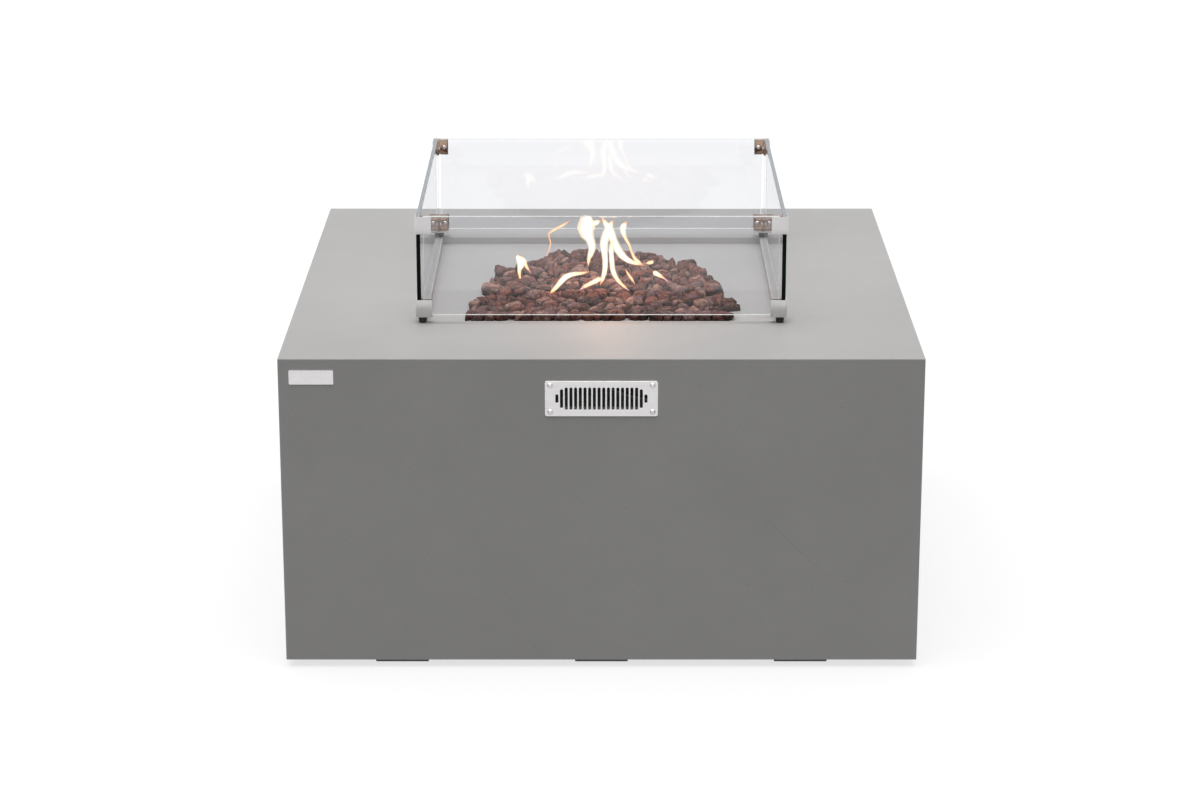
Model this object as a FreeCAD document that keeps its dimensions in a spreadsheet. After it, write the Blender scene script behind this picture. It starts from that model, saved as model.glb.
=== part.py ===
"""Gas fire table in cast concrete with a loose glass wind guard.

Frame: origin on the floor under the middle of the table, +Z up, front face towards -Y.
Millimetres throughout.
"""
import math
import os
import random

import FreeCAD
import Part
import Sketcher

os.makedirs("parts", exist_ok=True)
Vector = FreeCAD.Vector
Turn = FreeCAD.Rotation
doc = FreeCAD.newDocument("fire_table")

# Driving sizes

SIZES = {
    # concrete casting
    "table_width": 914,
    "table_depth": 914,
    "table_height": 466,
    "wall": 20,
    "slab": 30,
    "arris": 1.5,
    "recess_width": 515,
    "recess_depth": 11,
    "ring_width": 85,
    "ring_height": 18,
    "hose_room": 22,
    # feet
    "foot_height": 12,
    "foot_top": 82,
    "foot_bottom": 76,
    "foot_setback": 20,
    "foot_pitch": 290,
    # burner pan
    "sheet": 1.5,
    "pan_radius": 150,
    "pan_depth": 55,
    "pan_gap": 3,
    "pan_lip": 15,
    "drain_radius": 3,
    "drain_circle": 128,
    # burner and the fittings under it
    "ring_radius": 100,
    "tube_radius": 9.5,
    "tube_wall": 1.5,
    "burner_rise": 20,
    "port_radius": 1.2,
    "ring_ports": 16,
    "post_radius": 6,
    "post_gap": 0.2,
    "hub_radius": 15,
    "hub_rise": 7,
    "hub_passage": 6,
    "nipple_radius": 10.65,
    "nipple_bore": 7.5,
    "nipple_drop": 30,
    "thread_grip": 9,
    "thread_gap": 0.05,
    "nut_across": 36,
    "upper_nut": 6,
    "lower_nut": 8,
    "mixer_radius": 15,
    "mixer_length": 70,
    "mixer_bore": 8,
    "mixer_grip": 12,
    "air_hole": 5,
    "jet_thread": 6.95,
    "jet_grip": 10,
    "jet_hex": 21,
    "jet_body": 12,
    "jet_stub": 12,
    "jet_stub_radius": 6,
    "jet_hole": 1,
    "supply_radius": 5,
    # pilot group
    "pilot_reach": 58,
    "pilot_pitch": 14,
    "pilot_tail": 20,
    "tail_drop": 45,
    "lead_drop": 35,
    "supply_drop": 73,
    "supply_sag": 150,
    "pilot_radius": 4,
    "pilot_bore": 2.5,
    "pilot_height": 20,
    "hood_radius": 5.5,
    "hood_height": 5,
    "mouth_rise": 0.5,
    "probe_radius": 3,
    "probe_height": 23,
    "electrode_radius": 3.5,
    "electrode_height": 14,
    "wire_radius": 0.9,
    "wire_height": 24,
    "pilot_gap": 0.3,
    "bracket_length": 50,
    "bracket_depth": 26,
    "bracket_rise": 18,
    "shield_length": 64,
    "shield_depth": 36,
    "shield_height": 29,
    "shield_sheet": 1,
    "pilot_tube_radius": 3,
    "probe_lead_radius": 1.5,
    "spark_lead_radius": 2,
    # lava stones
    "stone_gap": 0.4,
    "stone_pitch": 34,
    "pan_stone_pitch": 42,
    "stone_cover": 2,
    "heap_width": 203,
    "heap_front": 222,
    "heap_back": 150,
    "heap_edge": 5,
    "heap_crown": 25,
    # vent grilles
    "vent_width": 160,
    "vent_height": 52,
    "vent_drop": 58.3,
    "vent_thick": 1.5,
    "vent_corner": 3,
    "slot_width": 4.2,
    "slot_pitch": 6.63,
    "slot_full": 33,
    "slot_medium": 27.7,
    "slot_short": 12.6,
    "slots_full": 16,
    "vent_hole_width": 138,
    "vent_hole_height": 36,
    "vent_screw_x": 72.5,
    "vent_screw_z": 19.5,
    # name plate
    "name_width": 63,
    "name_height": 21,
    "name_thick": 1,
    "name_corner": 1.5,
    "name_inset": 15.5,
    "name_drop": 27,
    # screws
    "screw_head": 4.15,
    "screw_dome": 2,
    "screw_shank": 1.5,
    "screw_length": 14,
    "screw_hole": 1.6,
    "screw_slot": 0.9,
    # control box in the right wall
    "control_drop": 166,
    "box_width": 148,
    "box_height": 98,
    "box_depth": 40,
    "box_flange": 13,
    "box_gap": 1.5,
    "rebate_depth": 4,
    # gas valve
    "knob_offset": 35,
    "valve_length": 58,
    "valve_size": 46,
    "valve_boss": 12,
    "valve_boss_radius": 9,
    "valve_passage": 4,
    "valve_cap": 4,
    "plug_radius": 10,
    "plug_length": 31.4,
    "plug_gap": 0.05,
    "plug_end_gap": 0.3,
    "plug_port": 3.5,
    "plug_socket": 18,
    "stem_radius": 4,
    "stem_hole": 4.3,
    "stem_grip": 12.5,
    "stem_recess": 2.5,
    "push_room": 5,
    "valve_screw_y": 19.5,
    # knob
    "knob_radius": 22,
    "knob_length": 24,
    "knob_round": 2,
    "flute_radius": 2,
    "flutes": 12,
    "pointer_width": 2,
    "pointer_length": 14,
    "pointer_depth": 1,
    "spring_room": 9.5,
    "spring_room_depth": 12,
    "spring_radius": 7.2,
    "spring_wire": 0.6,
    "spring_turns": 5,
    "spring_gap": 0.3,
    # igniter
    "igniter_offset": 42,
    "igniter_radius": 11,
    "igniter_length": 75,
    "igniter_neck": 9,
    "igniter_neck_length": 13,
    "igniter_bore": 7.6,
    "igniter_end": 4,
    "igniter_nut_across": 26,
    "igniter_nut_height": 5,
    "button_gap": 0.08,
    "button_length": 19,
    "button_proud": 5,
    "button_round": 1,
    "battery_radius": 7.25,
    "battery_length": 50.5,
    "igniter_spring_radius": 5.5,
    "igniter_spring_wire": 0.5,
    "igniter_spring_turns": 6,
    # gas inlet
    "inlet_thread": 6.95,
    "inlet_grip": 10,
    "inlet_hex": 21,
    "inlet_body": 12,
    "flare_radius": 7.9,
    "flare_length": 24,
    "flare_bore": 4,
    # wind guard
    "guard_width": 539,
    "glass": 6,
    "glass_height": 148,
    "glass_lift": 12.5,
    "glass_edge": 0.8,
    "glass_corner_gap": 4,
    "glass_hole": 2.6,
    "bracket_sheet": 2,
    "bracket_leg": 24,
    "bracket_height": 26,
    "leaf_leg": 15,
    "leaf_gap": 0.5,
    "leaf_hole": 2.2,
    "guard_screw_inset": 9.5,
    "guard_screw_head": 3.5,
    "guard_screw_dome": 1.8,
    "guard_screw_shank": 2,
    "guard_screw_bite": 1.5,
    "guard_foot_height": 9.5,
    "guard_foot_top": 6.5,
    "guard_foot_bottom": 5.5,
    "guard_foot_stud": 1.9,
    "guard_foot_stud_length": 1.7,
}


# Proportions of a screw head: its crown and its recess against the head and its dome

CROWN_SHARE = 0.62
RECESS_SHARE = 0.6
RECESS_SPAN = 1.1


class Tied:
    """A length that carries both its number and the spreadsheet expression it comes from."""

    def __init__(self, number, text):
        self.number = number
        self.text = text

    def join(self, sign, other, number):
        return Tied(number, f"({self.text} {sign} {tied(other).text})")

    def __add__(self, other):
        return self.join("+", other, self.number + tied(other).number)

    def __sub__(self, other):
        return self.join("-", other, self.number - tied(other).number)

    def __mul__(self, other):
        return self.join("*", other, self.number * tied(other).number)

    def __truediv__(self, other):
        return self.join("/", other, self.number / tied(other).number)

    def __radd__(self, other):
        return tied(other) + self

    def __rsub__(self, other):
        return tied(other) - self

    def __rmul__(self, other):
        return tied(other) * self

    def __neg__(self):
        return tied(0) - self


def tied(value):
    return value if isinstance(value, Tied) else Tied(float(value), f"{float(value):.9g}")


class Sizes:
    """The named sizes, each tied to its cell of the sheet."""


sheet = doc.addObject("Spreadsheet::Sheet", "Sizes")
s = Sizes()
for row, (alias, number) in enumerate(SIZES.items(), start=1):
    sheet.set(f"A{row}", alias)
    sheet.set(f"B{row}", str(number))
    sheet.setAlias(f"B{row}", alias)
    setattr(s, alias, Tied(float(number), f"Sizes.{alias}"))
doc.recompute()

# Levels and planes that several pieces share

top = s.table_height
recess_floor = top - s.recess_depth
slab_under = top - s.slab
pan_under = recess_floor - s.pan_depth
pan_floor = pan_under + s.sheet
pan_hole = s.pan_radius + s.pan_gap
pan_rim = s.pan_radius + s.pan_lip
burner_axis = pan_floor + s.burner_rise
hub_under = pan_floor + s.hub_rise
nipple_end = pan_under - s.nipple_drop
mixer_top = nipple_end + s.mixer_grip
mixer_end = mixer_top - s.mixer_length
jet_end = mixer_end - s.jet_body - s.jet_stub
vent_level = top - s.vent_drop
front = s.table_depth / 2
control_level = top - s.control_drop
panel_face = s.table_width / 2 - s.rebate_depth
box_back = panel_face - s.box_depth
box_floor = box_back + s.sheet
knob_y = -s.knob_offset
igniter_y = s.igniter_offset
guard_out = s.guard_width / 2
guard_in = guard_out - s.glass
glass_under = top + s.glass_lift
lower_bracket = top + s.guard_foot_height
upper_bracket = glass_under + s.glass_height - s.bracket_height

# Document helpers

parts = []
count = {}


def add(kind, name):
    count[name] = count.get(name, 0) + 1
    return doc.addObject(kind, f"{name}_{count[name]}")


def bind(item, **values):
    for key, value in values.items():
        item.setExpression(key, tied(value).text)


def place(item, x=0, y=0, z=0, turn=None):
    """Ties an object's place to the sheet, with a fixed turn where it has one."""
    if turn is not None:
        item.Placement = FreeCAD.Placement(Vector(0, 0, 0), turn)
    for axis, value in zip("xyz", (x, y, z)):
        item.setExpression(f"Placement.Base.{axis}", tied(value).text)
    return item


def box(name, size, centre, base):
    """A box of the given size, centred on a point in plan and standing on a level."""
    item = add("Part::Box", name)
    bind(item, Length=size[0], Width=size[1], Height=size[2])
    return place(item, tied(centre[0]) - tied(size[0]) / 2, tied(centre[1]) - tied(size[1]) / 2, base)


def span(name, low, high):
    """A box between two opposite corners."""
    item = add("Part::Box", name)
    sides = [tied(b) - tied(a) for a, b in zip(low, high)]
    bind(item, Length=sides[0], Width=sides[1], Height=sides[2])
    return place(item, *low)


TURNS = {
    "+z": None,
    "-z": Turn(Vector(1, 0, 0), 180),
    "+x": Turn(Vector(0, 1, 0), 90),
    "-x": Turn(Vector(0, 1, 0), -90),
    "+y": Turn(Vector(1, 0, 0), -90),
    "-y": Turn(Vector(1, 0, 0), 90),
}


def rod(name, radius, length, start, way="+z"):
    """A cylinder that runs from a point along an axis."""
    item = add("Part::Cylinder", name)
    bind(item, Radius=radius, Height=length)
    return place(item, *start, turn=TURNS[way])


def hexagon(name, across, length, start, way="+z"):
    item = add("Part::Prism", name)
    item.Polygon = 6
    bind(item, Circumradius=tied(across) / math.sqrt(3), Height=length)
    return place(item, *start, turn=TURNS[way])


def torus(name, ring, tube, level):
    item = add("Part::Torus", name)
    bind(item, Radius1=ring, Radius2=tube)
    return place(item, 0, 0, level, turn=Turn(Vector(0, 0, 1), 45))


def fuse(name, items):
    if len(items) == 1:
        return items[0]
    item = add("Part::MultiFuse", name)
    item.Shapes = items
    return item


def cut(name, base, tools):
    item = add("Part::Cut", name)
    item.Base = base
    item.Tool = fuse(f"{name}_tools", tools)
    return item


def group(name, items):
    item = add("Part::Compound", name)
    item.Links = items
    return item


def keep(item, label):
    """Names a finished sub-part."""
    item.Label = label
    parts.append(item)
    return item


def new_body(name):
    return add("PartDesign::Body", name)


def plane_of(body, role):
    return next(f for f in body.Origin.OriginFeatures if f.Role == role)


def draw_on(body, role, offset=0, shift=(0, 0), turn=None):
    """A sketch on one of the body's own planes, moved along its normal and in its plane."""
    count["sketch"] = count.get("sketch", 0) + 1
    sketch = body.newObject("Sketcher::SketchObject", f"{body.Name}_sketch_{count['sketch']}")
    sketch.AttachmentSupport = (plane_of(body, role), "")
    sketch.MapMode = "FlatFace"
    if turn is not None:
        sketch.AttachmentOffset = FreeCAD.Placement(Vector(0, 0, 0), turn)
    for axis, value in zip("xyz", (shift[0], shift[1], offset)):
        sketch.setExpression(f"AttachmentOffset.Base.{axis}", tied(value).text)
    return sketch


def fix_point(sketch, item, end, point):
    """Ties one end of a line or the centre of a circle to its coordinates."""
    for kind, axis, value in (("DistanceX", -2, point[0]), ("DistanceY", -1, point[1])):
        value = tied(value)
        if value.text == "0":
            sketch.addConstraint(Sketcher.Constraint("PointOnObject", item, end, axis))
        else:
            at = sketch.addConstraint(Sketcher.Constraint(kind, item, end, value.number))
            sketch.setExpression(f"Constraints[{at}]", value.text)


def draw_loop(sketch, points):
    """A closed outline of straight lines through points tied to the sheet."""
    spots = [Vector(tied(x).number, tied(y).number, 0) for x, y in points]
    first = sketch.GeometryCount
    total = len(points)
    for at in range(total):
        sketch.addGeometry(Part.LineSegment(spots[at], spots[(at + 1) % total]), False)
    for at in range(total):
        sketch.addConstraint(Sketcher.Constraint("Coincident", first + at, 2, first + (at + 1) % total, 1))
    for at, point in enumerate(points):
        fix_point(sketch, first + at, 1, point)


def draw_rectangle(sketch, width, height, centre=(0, 0)):
    x0, x1 = tied(centre[0]) - tied(width) / 2, tied(centre[0]) + tied(width) / 2
    y0, y1 = tied(centre[1]) - tied(height) / 2, tied(centre[1]) + tied(height) / 2
    draw_loop(sketch, [(x0, y0), (x1, y0), (x1, y1), (x0, y1)])


def draw_circle(sketch, radius, centre=(0, 0)):
    radius = tied(radius)
    middle = Vector(tied(centre[0]).number, tied(centre[1]).number, 0)
    item = sketch.addGeometry(Part.Circle(middle, Vector(0, 0, 1), radius.number), False)
    at = sketch.addConstraint(Sketcher.Constraint("Radius", item, radius.number))
    sketch.setExpression(f"Constraints[{at}]", radius.text)
    fix_point(sketch, item, 3, centre)


def draw_slot(sketch, width, height, centre):
    """An upright slot with round ends."""
    radius = tied(width) / 2
    x, y = tied(centre[0]), tied(centre[1])
    low, high = y - tied(height) / 2 + radius, y + tied(height) / 2 - radius
    right, left = x + radius, x - radius
    spot = {name: Vector(a.number, b.number, 0) for name, a, b in
            (("right_low", right, low), ("right_high", right, high), ("left_low", left, low),
             ("left_high", left, high), ("under", x, low - radius), ("over", x, high + radius))}
    first = sketch.GeometryCount
    sketch.addGeometry(Part.LineSegment(spot["right_low"], spot["right_high"]), False)
    sketch.addGeometry(Part.Arc(spot["right_high"], spot["over"], spot["left_high"]), False)
    sketch.addGeometry(Part.LineSegment(spot["left_high"], spot["left_low"]), False)
    sketch.addGeometry(Part.Arc(spot["left_low"], spot["under"], spot["right_low"]), False)
    sketch.addConstraint(Sketcher.Constraint("Tangent", first, 2, first + 1, 1))
    sketch.addConstraint(Sketcher.Constraint("Tangent", first + 1, 2, first + 2, 1))
    sketch.addConstraint(Sketcher.Constraint("Tangent", first + 2, 2, first + 3, 1))
    sketch.addConstraint(Sketcher.Constraint("Tangent", first + 3, 2, first, 1))
    sketch.addConstraint(Sketcher.Constraint("Vertical", first))
    fix_point(sketch, first + 1, 3, (x, high))
    fix_point(sketch, first + 3, 3, (x, low))
    at = sketch.addConstraint(Sketcher.Constraint("Radius", first + 1, radius.number))
    sketch.setExpression(f"Constraints[{at}]", radius.text)


def pad(body, sketch, length):
    item = body.newObject("PartDesign::Pad", f"{sketch.Name}_pad")
    item.Profile = sketch
    bind(item, Length=length)
    doc.recompute()
    return item


def pocket(body, sketch, depth=None, both=False, back=False):
    """Cuts to a depth, or right through both ways; back turns the cut round."""
    item = body.newObject("PartDesign::Pocket", f"{sketch.Name}_pocket")
    item.Profile = sketch
    if both:
        item.Type = "ThroughAll"
        item.Midplane = True
    else:
        item.Type = "Length"
        item.Reversed = back
        bind(item, Length=depth)
    doc.recompute()
    return item


def edges_where(feature, test):
    found = []
    for at, edge in enumerate(feature.Shape.Edges, start=1):
        if test([edge.Vertexes[0].Point, edge.Vertexes[-1].Point], edge):
            found.append(f"Edge{at}")
    return found


def soften(body, kind, feature, size, test):
    """A fillet or chamfer on the edges that pass a test."""
    names = edges_where(feature, test)
    if not names:
        raise ValueError(f"no edge to soften on {body.Name}")
    item = body.newObject(f"PartDesign::{kind}", f"{body.Name}_{kind}")
    item.Base = (feature, names)
    if kind == "Fillet":
        bind(item, Radius=size)
    else:
        bind(item, Size=size)
    doc.recompute()
    return item


def near(a, b):
    return abs(a - b) < 0.001


def parallel_to(axis):
    """A test that keeps straight edges along one axis."""
    def test(ends, edge):
        run = ends[1] - ends[0]
        return run.Length > 0.001 and near(abs(run.normalize().dot(axis)), 1)
    return test


def screw(name, point, way, head, dome, shank, length):
    """A round-head screw with a cross recess; point is where its head bears."""
    along = "xyz".index(way[1])
    sign, opposite = (1, "-") if way[0] == "+" else (-1, "+")
    crown = [tied(value) for value in point]
    crown[along] = crown[along] - tied(dome) * sign
    cap = add("Part::Cone", f"{name}_head")
    bind(cap, Radius1=head, Radius2=tied(head) * CROWN_SHARE, Height=dome)
    place(cap, *point, turn=TURNS[opposite + way[1]])
    body = rod(f"{name}_shank", shank, length, point, way)
    cross = []
    for arm in range(3):
        if arm == along:
            continue
        size = [s.screw_slot] * 3
        size[along] = tied(dome) * RECESS_SHARE * 2
        size[arm] = tied(head) * RECESS_SPAN
        low = [spot - extent / 2 for spot, extent in zip(crown, size)]
        bar = add("Part::Box", f"{name}_recess")
        bind(bar, Length=size[0], Width=size[1], Height=size[2])
        cross.append(place(bar, *low))
    return cut(name, fuse(f"{name}_blank", [cap, body]), cross)


# How much of the shorter run beside a corner its bend takes

BEND_SHARE = 0.45


def tube_along(name, points, radius):
    """A held tube or lead: straight runs joined by tangent arcs as large as the runs allow."""
    spots = [Vector(*(tied(v).number for v in point)) for point in points]
    edges = []
    start = spots[0]
    tightest = None
    for before, corner, after in zip(spots, spots[1:], spots[2:]):
        back, ahead = (before - corner), (after - corner)
        run = min(back.Length, ahead.Length)
        half_turn = (math.pi - back.getAngle(ahead)) / 2
        reach = BEND_SHARE * run
        bend = reach / math.tan(half_turn)
        tightest = bend if tightest is None else min(tightest, bend)
        back.normalize()
        ahead.normalize()
        enter, leave = corner + back * reach, corner + ahead * reach
        inward = (back + ahead).normalize()
        middle = corner + inward * (bend / math.cos(half_turn) - bend)
        edges.append(Part.LineSegment(start, enter).toShape())
        edges.append(Part.Arc(enter, middle, leave).toShape())
        start = leave
    edges.append(Part.LineSegment(start, spots[-1]).toShape())
    path = Part.Wire(edges)
    run_in = (spots[1] - spots[0]).normalize()
    ring = Part.Wire(Part.Circle(spots[0], run_in, radius.number).toShape())
    shape = path.makePipeShell([ring], True, False)
    expected = math.pi * radius.number ** 2 * path.Length
    print(f"{name}: length {path.Length:.1f}, tightest bend {tightest:.1f}, "
          f"volume over section times length {shape.Volume / expected:.4f}")
    item = add("Part::Feature", name)
    item.Shape = shape
    return item


def coil(name, radius, wire, turns, start, length):
    """A compression spring along X between two planes."""
    across = tied(wire).number
    free = tied(length).number - 2 * across
    helix = Part.makeHelix(free / turns, free, tied(radius).number)
    ring = Part.Wire(Part.Circle(Vector(tied(radius).number, 0, 0), Vector(0, 1, 0), across).toShape())
    shape = Part.Wire(helix).makePipeShell([ring], True, True)
    item = add("Part::Feature", name)
    item.Shape = shape
    place_numbers = [tied(v).number for v in start]
    item.Placement = FreeCAD.Placement(Vector(place_numbers[0] + across, *place_numbers[1:]), TURNS["+x"])
    return item


# Concrete casting

def make_shell():
    body = new_body("concrete")
    base = draw_on(body, "XY_Plane", s.foot_height)
    draw_rectangle(base, s.table_width, s.table_depth)
    block = pad(body, base, top - s.foot_height)
    long_x, long_y = parallel_to(Vector(1, 0, 0)), parallel_to(Vector(0, 1, 0))
    upright = parallel_to(Vector(0, 0, 1))
    soften(body, "Fillet", block, s.arris, lambda ends, edge: upright(ends, edge)
           or (near(ends[0].z, top.number) and (long_x(ends, edge) or long_y(ends, edge))))
    hollow = draw_on(body, "XY_Plane", s.foot_height)
    draw_rectangle(hollow, s.table_width - s.wall * 2, s.table_depth - s.wall * 2)
    pocket(body, hollow, slab_under - s.foot_height, back=True)
    recess = draw_on(body, "XY_Plane", top)
    draw_rectangle(recess, s.recess_width, s.recess_width)
    pocket(body, recess, s.recess_depth)
    hole = draw_on(body, "XY_Plane", top)
    draw_circle(hole, pan_hole)
    pocket(body, hole, s.slab + s.sheet)
    vents = draw_on(body, "XZ_Plane")
    draw_rectangle(vents, s.vent_hole_width, s.vent_hole_height, (0, vent_level))
    for x, z in vent_screw_spots():
        draw_circle(vents, s.screw_hole, (x, z))
    pocket(body, vents, both=True)
    rebate = draw_on(body, "YZ_Plane", s.table_width / 2)
    draw_rectangle(rebate, s.box_width + (s.box_flange + s.box_gap) * 2,
                   s.box_height + (s.box_flange + s.box_gap) * 2, (0, control_level))
    pocket(body, rebate, s.rebate_depth)
    opening = draw_on(body, "YZ_Plane", s.table_width / 2)
    draw_rectangle(opening, s.box_width + s.box_gap * 2, s.box_height + s.box_gap * 2, (0, control_level))
    pocket(body, opening, s.wall + s.sheet)
    pilots = draw_on(body, "YZ_Plane", panel_face)
    for y, z in flange_corners():
        draw_circle(pilots, s.screw_hole, (y, z))
    pocket(body, pilots, s.screw_length)
    return keep(body, "concrete_shell")


def flange_corners():
    """Centres of the four screws in the control box flange."""
    y = s.box_width / 2 + s.box_flange / 2
    z = s.box_height / 2 + s.box_flange / 2
    return [(a * y, control_level + b * z) for a in (-1, 1) for b in (-1, 1)]


def make_base_ring(port_x):
    """The ring inside the lower edge, notched where the gas hose comes up."""
    inner_width, inner_depth = s.table_width - s.wall * 2, s.table_depth - s.wall * 2
    outer = box("base_ring_blank", (inner_width, inner_depth, s.ring_height), (0, 0), s.foot_height)
    window = (inner_width - s.ring_width * 2, inner_depth - s.ring_width * 2, s.ring_height + 2)
    hole = box("base_ring_window", window, (0, 0), s.foot_height - 1)
    inner_edge = inner_width / 2 - s.ring_width
    notch = span("hose_notch", (inner_edge - 1, knob_y - s.hose_room, s.foot_height - 1),
                 (port_x + s.hose_room, knob_y + s.hose_room, s.foot_height + s.ring_height + 1))
    return keep(cut("base_ring_cut", outer, [hole, notch]), "base_ring")


def make_feet():
    reach_y = s.table_depth / 2 - s.foot_setback - s.foot_top / 2
    centres = [(x, a * reach_y) for x in (-s.foot_pitch, tied(0), s.foot_pitch) for a in (-1, 1)]
    inset = (s.foot_top - s.foot_bottom) / 2
    feet = []
    for x, y in centres:
        foot = add("Part::Wedge", "foot")
        bind(foot, Xmin=0, Zmin=0, Ymin=0, X2min=inset, Z2min=inset, Ymax=s.foot_height,
             Xmax=s.foot_top, Zmax=s.foot_top, X2max=s.foot_top - inset, Z2max=s.foot_top - inset)
        half = s.foot_top / 2
        feet.append(place(foot, x - half, y - half, s.foot_height, turn=TURNS["+y"]))
    return keep(group("feet", feet), "feet")


# Burner pan and burner

def pilot_spots():
    """Plan centres of the pilot burner, the probe and the spark electrode."""
    return [(-s.pilot_pitch, -s.pilot_reach), (tied(0), -s.pilot_reach), (s.pilot_pitch, -s.pilot_reach)]


def pilot_radii():
    return [s.pilot_radius, s.probe_radius, s.electrode_radius]


def make_pan():
    body = new_body("pan")
    section = draw_on(body, "XZ_Plane")
    inner = s.pan_radius - s.sheet
    centre_hole = s.nipple_radius + s.pilot_gap
    lip_top = recess_floor + s.sheet
    draw_loop(section, [(centre_hole, pan_under), (s.pan_radius, pan_under), (s.pan_radius, recess_floor),
                        (pan_rim, recess_floor), (pan_rim, lip_top), (inner, lip_top),
                        (inner, pan_floor), (centre_hole, pan_floor)])
    spin = body.newObject("PartDesign::Revolution", "pan_spin")
    spin.Profile = section
    spin.ReferenceAxis = (section, ["V_Axis"])
    spin.Angle = 360
    doc.recompute()
    holes = draw_on(body, "XY_Plane", pan_floor)
    for (x, y), radius in zip(pilot_spots(), pilot_radii()):
        draw_circle(holes, radius + s.pilot_gap, (x, y))
    pocket(body, holes, s.sheet + s.pilot_gap)
    drain = draw_on(body, "XY_Plane", pan_floor)
    draw_circle(drain, s.drain_radius, (s.drain_circle, 0))
    first = pocket(body, drain, s.sheet + s.pilot_gap)
    spread = body.newObject("PartDesign::PolarPattern", "drains")
    spread.Originals = [first]
    spread.Axis = (drain, ["N_Axis"])
    spread.Angle = 360
    spread.Occurrences = 4
    body.Tip = spread
    doc.recompute()
    return keep(body, "burner_pan")


# Places of the ports along the cross bar, in shares of the ring's radius

BAR_PORTS = (-0.7, -0.45, 0.45, 0.7)


def make_burner():
    inner = s.tube_radius - s.tube_wall
    left = -s.ring_radius
    outside = [torus("burner_ring", s.ring_radius, s.tube_radius, burner_axis),
               rod("burner_bar", s.tube_radius, s.ring_radius * 2, (left, 0, burner_axis), "+x"),
               rod("burner_hub", s.hub_radius, burner_axis + s.hub_passage - hub_under, (0, 0, hub_under))]
    inside = [torus("burner_ring_bore", s.ring_radius, inner, burner_axis),
              rod("burner_bar_bore", inner, s.ring_radius * 2, (left, 0, burner_axis), "+x"),
              rod("burner_thread", s.nipple_radius + s.thread_gap, s.thread_grip + 1, (0, 0, hub_under)),
              rod("burner_passage", s.hub_passage, burner_axis - hub_under, (0, 0, hub_under))]
    hollow = cut("burner_hollow", fuse("burner_outside", outside), inside)
    ports = int(SIZES["ring_ports"])
    turns = [math.tau * (at + 0.5) / ports for at in range(ports)]
    spots = [(math.cos(turn), math.sin(turn)) for turn in turns] + [(share, 0) for share in BAR_PORTS]
    drills = [rod("burner_port", s.port_radius, s.tube_radius + 1,
                  (s.ring_radius * x, s.ring_radius * y, burner_axis)) for x, y in spots]
    return keep(cut("burner_cut", hollow, drills), "burner")


def make_burner_posts():
    share = math.sqrt(0.5)
    height = s.burner_rise - s.tube_radius - s.post_gap
    posts = [rod("burner_post", s.post_radius, height,
                 (s.ring_radius * (share * a), s.ring_radius * (share * b), pan_floor))
             for a in (-1, 1) for b in (-1, 1)]
    return keep(group("burner_posts", posts), "burner_posts")


def make_feed():
    """The threaded pipe that carries gas up through the pan, its nuts, the mixer and the jet."""
    grip_top = hub_under + s.thread_grip
    pipe = cut("nipple_cut", rod("nipple", s.nipple_radius, grip_top - nipple_end, (0, 0, nipple_end)),
               [rod("nipple_hole", s.nipple_bore, grip_top - nipple_end + 2, (0, 0, nipple_end - 1))])
    keep(pipe, "inlet_nipple")
    nuts = []
    for base, height in ((pan_floor, s.upper_nut), (pan_under - s.lower_nut, s.lower_nut)):
        blank = hexagon("nut_blank", s.nut_across, height, (0, 0, base))
        bore = rod("nut_bore", s.nipple_radius + s.thread_gap, height + 2, (0, 0, base - 1))
        nuts.append(cut("nut", blank, [bore]))
    keep(group("nuts", nuts), "nipple_lock_nuts")
    across = s.mixer_radius * 2 + 2
    socket_under = mixer_top - s.mixer_grip
    throat_under = mixer_end + s.mixer_grip
    air_level = throat_under + s.mixer_radius
    mixer = cut("mixer_cut", rod("mixer", s.mixer_radius, s.mixer_length, (0, 0, mixer_end)), [
        rod("mixer_socket", s.nipple_radius + s.thread_gap, s.mixer_grip + 1, (0, 0, socket_under)),
        rod("mixer_throat", s.mixer_bore, socket_under - throat_under + 1, (0, 0, throat_under)),
        rod("mixer_jet_hole", s.jet_thread + s.thread_gap, s.mixer_grip + 2, (0, 0, mixer_end - 1)),
        rod("mixer_air_x", s.air_hole, across, (-across / 2, 0, air_level), "+x"),
        rod("mixer_air_y", s.air_hole, across, (0, -across / 2, air_level), "+y")])
    keep(mixer, "air_mixer")
    hex_under = mixer_end - s.jet_body
    jet = cut("jet_cut", fuse("jet_outside", [
        hexagon("jet_hex", s.jet_hex, s.jet_body, (0, 0, hex_under)),
        rod("jet_spigot", s.jet_thread, s.jet_body + s.jet_grip, (0, 0, hex_under)),
        rod("jet_stub", s.jet_stub_radius, s.jet_stub + 1, (0, 0, jet_end))]), [
        rod("jet_gas_hole", s.jet_hole, s.jet_body + s.jet_grip + 2, (0, 0, hex_under - 1)),
        rod("jet_stub_bore", s.jet_stub_radius / 2, s.jet_stub, (0, 0, jet_end - 1))])
    keep(jet, "gas_orifice")


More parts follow.
